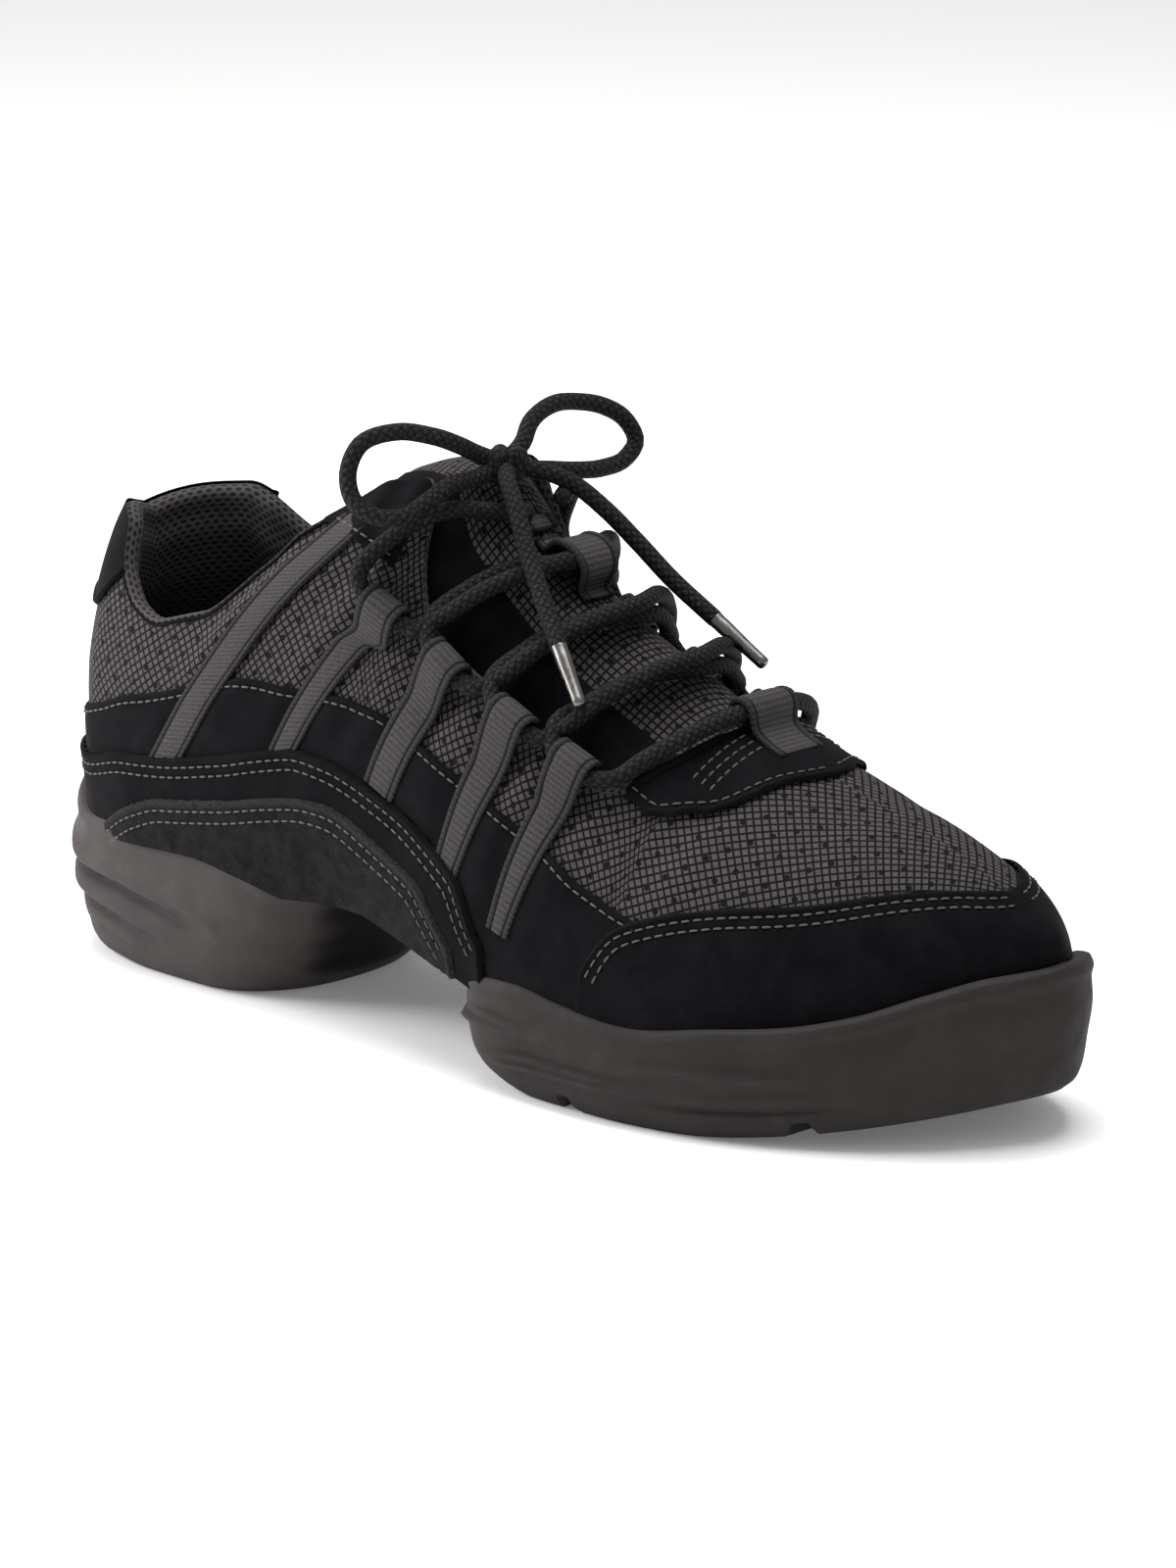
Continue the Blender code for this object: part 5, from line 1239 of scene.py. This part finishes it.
def build_cords(options):
    """The tips, the bow loops and lace ends as free cords, and the knot: one closed line of sines and
    cosines of one, two and three turns."""
    for word, route in (("outer", LACE_END_OUTER), ("inner", LACE_END_INNER)):
        line = np.array(route[-2:])
        way = (line[1] - line[0]) / np.linalg.norm(line[1] - line[0])
        start = line[1] - way * 0.5 * MM
        at = np.linspace(0, 1, 16)[:, None]
        points = start + way * at * (TIP_LENGTH + 0.5 * MM)
        size = 1.04 - 0.22 * smooth(at[:, 0] * 1.1) - 0.05 * np.exp(-((at[:, 0] - 0.12) / 0.04) ** 2)
        build(f"lace_tip_{word}", [tube(points, TIP_WIDTH * 0.40, 20, size)], "tip", "tip",
                           f"tip_{word}")
    for name, route, far, lay_name in (("bow_loop_outer", BOW_LOOP_OUTER, "object", "loose"),
                                       ("bow_loop_inner", BOW_LOOP_INNER, "object", "loose"),
                                       ("lace_end_outer", LACE_END_OUTER, "fitting", "hanging"),
                                       ("lace_end_inner", LACE_END_INNER, "fitting", "hanging")):
        knot = np.array(KNOT_PLACE)
        ends = [knot * 0.6 + np.array(route[0]) * 0.4] + list(route)
        if far == "object":
            ends.append(knot * 0.6 + np.array(route[-1]) * 0.4)
        line = through(ends, 0.0014)
        made = build(f"{name}_braid", [tube(line, LACE_SEEN / 2)], "lace", "lace", name)
    turn = np.linspace(0, 2 * math.pi, 90)
    knot = np.stack([np.sin(2 * turn) * 0.35 + 0.75 * np.sin(turn),
                     (np.cos(turn) - 1.1 * np.cos(2 * turn)) * 0.62, -np.sin(3 * turn) * 0.75], 1) * 2.8 * MM
    build("knot_braid", [tube(np.array(KNOT_PLACE) + knot, LACE / 2 * 0.92)], "lace", "lace", "bow_knot")


def pod_sheets(start, end, profile, rim, floor, waves, grooves=(), lean=0.0, corner=SOLE_CORNER):
    """Sole pod: outlines stacked from floor to rim, a rounded lip, a cup that drops beside the upper, and
    a tread closed across. Each wave presses in by one bell curve of the height and swells out beside it by
    a wider one. The front wall leans forward by a power of the height, and grooves lift the tread."""
    turn = np.linspace(0, math.pi, 190)
    share = start + (end - start) * (1 - np.cos(turn)) / 2
    share = np.unique(np.concatenate([share] + [g + np.linspace(-1, 1, 13) * 0.012 for g in grooves]))
    from_start = np.clip((share - start) * SOLE_LENGTH / SOLE_CORNER, 0, 1) if start > 0 else 1.0
    from_end = np.clip((end - share) * SOLE_LENGTH / corner, 0, 1) if end < 1 else 1.0
    rounding = (1 - (1 - np.minimum(from_start, from_end)) ** 2.4) ** (1 / 2.4) * np.ones_like(share)
    pull = 2 * (share - start) / (end - start) - 1
    notch = np.zeros_like(share)
    for groove in grooves:
        off = np.abs(share - groove) * SOLE_LENGTH
        notch = np.maximum(notch, smooth((GROOVE_WIDTH * 0.75 - off) / (GROOVE_WIDTH * 0.4)))
    low = floor(share)
    levels = np.unique(np.concatenate([np.linspace(0, 1, 58), [0.01, 0.02, 0.975, 0.985]]))
    inset = curve_through(profile[:, 0], profile[:, 1], levels)[None, :] * RIB + 0 * share[:, None]
    for wave in waves:
        at, level, deep = np.array(wave).T
        here = (share >= at[0]) & (share <= at[-1])
        centre = np.interp(share, at, level)[:, None]
        depth = (np.interp(share, at, deep) * here)[:, None] * WAVE_PRESS * MM
        off = (levels[None, :] - centre) * 24
        inset = inset + depth * (np.exp(-(off / 0.75) ** 2) - 0.55 * np.exp(-((off - 2.4) / 1.5) ** 2))
    leaning = start + (share - start)[:, None] * (1 + lean * levels[None, :] ** 1.4)
    share = leaning[:, -1]
    wide = sole_half(leaning)
    foot_half = np.maximum(wide[:, -1] - SOLE_MARGIN * np.clip(wide[:, -1] / END_WIDTH, 0, 1), 0)
    past = (wide[:, -1] * rounding - foot_half) / (SOLE_MARGIN * 0.9)
    over = np.where(rounding > 0.999, 1.0, smooth(past))
    edge_high = rim(share)
    top = np.minimum(edge_high, bottom_edge(share)) * (1 - over) + edge_high * over
    height = low[:, None] + (top - low)[:, None] * levels[None, :]
    height = np.maximum(height, (low + notch * GROOVE_DEPTH)[:, None])
    half = (wide - inset * np.clip(wide / END_WIDTH, 0, 1)) * rounding[:, None]
    x = leaning * SOLE_LENGTH - SOLE_LENGTH / 2 - inset * pull[:, None]
    middles = sole_middle(leaning) + SIDE_STEP
    middle = middles[:, -1]
    sheets = []

    def hold_inside(line, gap):
        """Keeps a line of the cup between the sole's middle and a gap inside the wall's top."""
        line[:, 1] = middle + side * np.clip(side * (line[:, 1] - middle), 0, np.maximum(reach - gap, 0))

    for side in SIDES:
        wall = np.stack([x, middles + side * half, height], -1)
        reach = np.abs(wall[:, -1, 1] - middle)
        inner = place(share, way_up(share, top + 0.3 * MM), side, -0.8 * MM)
        inner[:, 2] = top - 0.6 * MM
        hold_inside(inner, 0.4 * MM)
        outer = wall[:, -1]
        lip = []
        for angle in (30, 60, 90):
            c, s = math.cos(math.radians(angle)), math.sin(math.radians(angle))
            part = min(1.0, (1 - c) * 0.45)
            spot = outer * (1 - part) + inner * part
            spot[:, 2] = top + 0.8 * MM * s * over
            lip.append(spot)
        spot = outer * 0.35 + inner * 0.65
        spot[:, 2] = top + 0.4 * MM * over
        lip.append(spot)
        foot = place(share, 0.0, side, -0.4 * MM)
        hold_inside(foot, 0.6 * MM)
        foot[:, 2] = np.minimum(bottom_edge(share) - 0.4 * MM, top - 0.6 * MM)
        lip += [inner, foot, np.stack([foot[:, 0], middle, foot[:, 2]], 1)]
        base = [wall[:, 0] * (1 - t) + np.stack([wall[:, 0, 0], middles[:, 0], wall[:, 0, 2]], 1) * t
                for t in (1.0, 0.9, 0.75, 0.6, 0.45, 0.3, 0.15, 0.06)]
        grid = np.concatenate([np.stack(base, 1), wall, np.stack(lip, 1)], 1)
        over_grid = np.cross(np.gradient(grid, axis=0), np.gradient(grid, axis=1)) * -side
        uv = np.stack(np.broadcast_arrays(runs(grid, 0)[:, 20, None] / MM, runs(grid, 1) / MM), -1)
        sheets.append((grid, over_grid, uv))
    return sheets


def heel_floor(share):
    """Height of the heel pod's tread: flat on the floor."""
    return 0.0 * share


def forefoot_floor(share):
    """Height of the forefoot pod's tread: up at the toe and at the rear, by a power of the way there."""
    front = TOE_SPRING * np.clip((share - 0.76) / 0.24, 0, 1) ** 1.7
    return front + REAR_ROCKER * np.clip((0.612 - share) / 0.100, 0, 1) ** 1.7


def build_soles(options):
    """The heel pod, with its slanted front wall, and the forefoot pod, with cross grooves."""
    heel = pod_sheets(0.0, HEEL_SOLE_END, HEEL_SIDE, heel_rim, heel_floor, HEEL_WAVES, (), HEEL_FRONT_SLANT,
                      HEEL_FRONT_CORNER)
    build("heel_pod", heel, "sole_heel", "sole", "heel_sole")
    forefoot = pod_sheets(FOREFOOT_SOLE_START, 1.0, FOREFOOT_SIDE, forefoot_rim, forefoot_floor,
                          FOREFOOT_WAVES, GROOVES)
    build("forefoot_pod", forefoot, "sole_front", "sole", "forefoot_sole")


def build_stage(options):
    """The camera at the photo's angle, white surroundings, two soft lights and a pale floor. The camera
    looks down its back line, which azimuth and elevation turn, and rolls around it."""
    scene = bpy.context.scene
    scene.view_settings.view_transform = "Standard"
    azimuth, elevation, roll = (math.radians(value) for value in CAMERA_TURNS)
    back = np.array([math.sin(azimuth) * math.cos(elevation), -math.cos(azimuth) * math.cos(elevation),
                     math.sin(elevation)])
    right = np.array([math.cos(azimuth), math.sin(azimuth), 0.0])
    up = np.cross(back, right)
    right, up = right * math.cos(roll) + up * math.sin(roll), up * math.cos(roll) - right * math.sin(roll)
    data = bpy.data.cameras.new("camera")
    data.sensor_width = FILM_WIDTH
    data.lens = FOCAL_PIXELS * FILM_WIDTH / PHOTO_WIDTH
    data.clip_start, data.clip_end = 0.1, 20.0
    camera = bpy.data.objects.new("camera", data)
    matrix = np.eye(4)
    matrix[:3, 0], matrix[:3, 1], matrix[:3, 2] = right, up, back
    matrix[:3, 3] = np.array(CAMERA_AIM) + back * CAMERA_DISTANCE
    camera.matrix_world = Matrix(matrix.tolist())
    bpy.context.collection.objects.link(camera)
    scene.camera = camera
    world = bpy.data.worlds.new("studio")
    scene.world = world
    world.use_nodes = True
    sky = world.node_tree.nodes["Background"]
    sky.inputs["Color"].default_value = (1.0, 1.0, 1.0, 1.0)
    sky.inputs["Strength"].default_value = options.sky_strength
    for name, power, size, spot in (("soft_left", options.left_light, 0.35, (-0.56, -0.34, 0.30)),
                                    ("soft_top", options.top_light, 1.0, (-0.1, 0.1, 1.3))):
        lamp = bpy.data.lights.new(name, "AREA")
        lamp.energy, lamp.size = power, size
        made = bpy.data.objects.new(name, lamp)
        made.location = spot
        made.rotation_mode = "QUATERNION"
        made.rotation_quaternion = made.location.to_track_quat("Z", "Y")
        bpy.context.collection.objects.link(made)
    finish, tree, shader = new_finish("studio_floor")
    set_shader(tree, shader, linear("#fbfbfa"), 0.9, **{"Emission Color": (1.0, 1.0, 1.0, 1.0),
                                                        "Emission Strength": 0.11})
    mesh = bpy.data.meshes.new("floor")
    corners = [(x * FLOOR_HALF, y * FLOOR_HALF, 0) for x, y in ((-1, -1), (1, -1), (1, 1), (-1, 1))]
    mesh.from_pydata(corners, [], [(0, 1, 2, 3)])
    mesh.materials.append(finish)
    floor = bpy.data.objects.new("floor", mesh)
    bpy.context.collection.objects.link(floor)


class SneakerSettings(bpy.types.PropertyGroup):
    """Sizes and colours of the fine work."""
    cell_pitch: bpy.props.FloatProperty(name="Cell pitch", description="Width of one cell of the mesh cloth",
                                        default=0.0018, min=0.0004, unit="LENGTH")
    stitch_length: bpy.props.FloatProperty(name="Stitch length", description="Length of one stitch",
                                           default=0.0021, min=0.001, unit="LENGTH")
    stitch_gap: bpy.props.FloatProperty(name="Stitch gap", description="Space between two stitches",
                                        default=0.0006, min=0.0002, unit="LENGTH")
    thread_width: bpy.props.FloatProperty(name="Thread width", description="Width of the sewing thread",
                                          default=0.0005, min=0.0002, unit="LENGTH")
    mesh_ground: bpy.props.FloatVectorProperty(name="Mesh ground", description="Ground of the mesh cloth",
                                               default=linear("#0b0a0b"), min=0, max=1, subtype="COLOR")
    mesh_cell: bpy.props.FloatVectorProperty(name="Mesh cell", description="Cells of the mesh cloth",
                                             default=linear("#4c4847"), min=0, max=1, subtype="COLOR")
    lining_ground: bpy.props.FloatVectorProperty(name="Lining ground", description="Holes of the lining",
                                                 default=linear("#0c0b0c"), min=0, max=1, subtype="COLOR")
    lining_colour: bpy.props.FloatVectorProperty(name="Lining", description="Knit of the lining",
                                                 default=linear("#3d3a39"), min=0, max=1, subtype="COLOR")
    nubuck_colour: bpy.props.FloatVectorProperty(name="Nubuck", description="Nap of the nubuck",
                                                 default=linear("#0b0a0d"), min=0, max=1, subtype="COLOR")
    nubuck_brushed: bpy.props.FloatVectorProperty(name="Brushed nubuck", description="Brushed nap",
                                                  default=linear("#141215"), min=0, max=1, subtype="COLOR")
    suede_colour: bpy.props.FloatVectorProperty(name="Suede", description="Nap of the suede",
                                                default=linear("#070607"), min=0, max=1, subtype="COLOR")
    suede_brushed: bpy.props.FloatVectorProperty(name="Brushed suede",
                                                 description="Brushed nap of the suede",
                                                 default=linear("#1d1b1b"), min=0, max=1, subtype="COLOR")
    # Painted shade on the heel pod's front wall.
    heel_front_painted_shade: bpy.props.FloatVectorProperty(name="Heel front wall",
                                                   description="Dark front wall of the heel pod",
                                                   default=linear("#141111"), min=0, max=1, subtype="COLOR")
    suede_edge: bpy.props.FloatVectorProperty(name="Suede edge", description="Raw cut edge of the suede",
                                              default=linear("#2f2d2c"), min=0, max=1, subtype="COLOR")
    tape_shadow: bpy.props.FloatVectorProperty(name="Tape ribs", description="Between the ribs of the tape",
                                               default=linear("#131112"), min=0, max=1, subtype="COLOR")
    tape_colour: bpy.props.FloatVectorProperty(name="Tape", description="Woven tape",
                                               default=linear("#444141"), min=0, max=1, subtype="COLOR")
    lace_shadow: bpy.props.FloatVectorProperty(name="Lace ground", description="Between the lace's strands",
                                               default=linear("#100f10"), min=0, max=1, subtype="COLOR")
    lace_colour: bpy.props.FloatVectorProperty(name="Lace", description="Strands of the lace",
                                               default=linear("#232121"), min=0, max=1, subtype="COLOR")
    lace_fleck: bpy.props.FloatVectorProperty(name="Lace fleck", description="Flecks of the lace",
                                              default=linear("#403c3b"), min=0, max=1, subtype="COLOR")
    sole_colour: bpy.props.FloatVectorProperty(name="Sole", description="Sole rubber",
                                               default=linear("#413c3c"), min=0, max=1, subtype="COLOR")
    # Paler rubber for rubbed places, also used as the painted highlight at the forefoot pod's rear corner.
    sole_rubbed_and_highlight: bpy.props.FloatVectorProperty(name="Rubbed sole", description="Rubbed places of the sole",
                                             default=linear("#4b4645"), min=0, max=1, subtype="COLOR")
    # Darkening of the forefoot rubber: painted shade, as the light falls off towards the toe.
    forefoot_shade_tone: bpy.props.FloatProperty(name="Front sole tone",
                                        description="Darker tone of the forefoot rubber",
                                        default=0.5, min=0, max=2, subtype="FACTOR")
    thread_colour: bpy.props.FloatVectorProperty(name="Thread", description="Sewing thread",
                                                 default=linear("#464241"), min=0, max=1, subtype="COLOR")
    sky_strength: bpy.props.FloatProperty(name="Sky", description="Brightness of the white surroundings",
                                          default=0.45, min=0)
    left_light: bpy.props.FloatProperty(name="Left light", description="Power of the light at the heel",
                                        default=4.6, min=0, unit="POWER")
    top_light: bpy.props.FloatProperty(name="Top light", description="Power of the light above",
                                       default=21.0, min=0, unit="POWER")


class SNEAKER_OT_stage(bpy.types.Operator):
    """Make the finishes, the floor, the lights and the camera"""
    bl_idname = "sneaker.stage"
    bl_label = "Stage"

    def execute(self, context):
        make_all_finishes(context.scene.sneaker)
        build_stage(context.scene.sneaker)
        return {"FINISHED"}


class SNEAKER_OT_cords(bpy.types.Operator):
    """Lay the free cords of the bow, the tips and the knot"""
    bl_idname = "sneaker.cords"
    bl_label = "Bow and lace ends"

    def execute(self, context):
        build_cords(context.scene.sneaker)
        return {"FINISHED"}


class SNEAKER_OT_upper(bpy.types.Operator):
    """Lay the mesh cloth over the last"""
    bl_idname = "sneaker.upper"
    bl_label = "Upper cloth"

    def execute(self, context):
        build_upper(context.scene.sneaker)
        return {"FINISHED"}


class SNEAKER_OT_lining(bpy.types.Operator):
    """Line the shoe, roll the collar and lay the insole"""
    bl_idname = "sneaker.lining"
    bl_label = "Lining and insole"

    def execute(self, context):
        build_lining(context.scene.sneaker)
        return {"FINISHED"}


class SNEAKER_OT_tongue(bpy.types.Operator):
    """Pad the tongue"""
    bl_idname = "sneaker.tongue"
    bl_label = "Tongue"

    def execute(self, context):
        build_tongue(context.scene.sneaker)
        return {"FINISHED"}


class SNEAKER_OT_overlays(bpy.types.Operator):
    """Lay the leather overlays and sew them down"""
    bl_idname = "sneaker.overlays"
    bl_label = "Overlays and seams"

    def execute(self, context):
        build_overlays(context.scene.sneaker)
        return {"FINISHED"}


class SNEAKER_OT_tape(bpy.types.Operator):
    """Run the tape straps, the throat loop and the keepers"""
    bl_idname = "sneaker.tape"
    bl_label = "Straps and loops"

    def execute(self, context):
        build_tape(context.scene.sneaker)
        return {"FINISHED"}


class SNEAKER_OT_lace_run(bpy.types.Operator):
    """Run the lace through its loops"""
    bl_idname = "sneaker.lace_run"
    bl_label = "Lace"

    def execute(self, context):
        build_lace_run(context.scene.sneaker)
        return {"FINISHED"}


class SNEAKER_OT_soles(bpy.types.Operator):
    """Mould both parts of the sole"""
    bl_idname = "sneaker.soles"
    bl_label = "Soles"

    def execute(self, context):
        build_soles(context.scene.sneaker)
        return {"FINISHED"}


STEPS = ("stage", "cords", "upper", "lining", "tongue", "overlays", "tape", "lace_run", "soles")


class SNEAKER_PT_panel(bpy.types.Panel):
    """Sneaker tools in the sidebar"""
    bl_label = "Dance sneaker"
    bl_space_type = "VIEW_3D"
    bl_region_type = "UI"
    bl_category = "Sneaker"

    def draw(self, context):
        options = context.scene.sneaker
        for name in SneakerSettings.__annotations__:
            self.layout.prop(options, name)
        for step in STEPS:
            self.layout.operator(f"sneaker.{step}")


CLASSES = (SneakerSettings, SNEAKER_OT_stage, SNEAKER_OT_cords, SNEAKER_OT_upper, SNEAKER_OT_lining,
           SNEAKER_OT_tongue, SNEAKER_OT_overlays, SNEAKER_OT_tape, SNEAKER_OT_lace_run, SNEAKER_OT_soles,
           SNEAKER_PT_panel)


def register():
    """Add the settings, the operators and the panel to Blender."""
    for made in CLASSES:
        bpy.utils.register_class(made)
    bpy.types.Scene.sneaker = bpy.props.PointerProperty(type=SneakerSettings)


def unregister():
    """Take them out again."""
    del bpy.types.Scene.sneaker
    for made in reversed(CLASSES):
        bpy.utils.unregister_class(made)


def main():
    """Run every step in order."""
    register()
    for step in STEPS:
        getattr(bpy.ops.sneaker, step)()


if __name__ == "__main__":
    main()
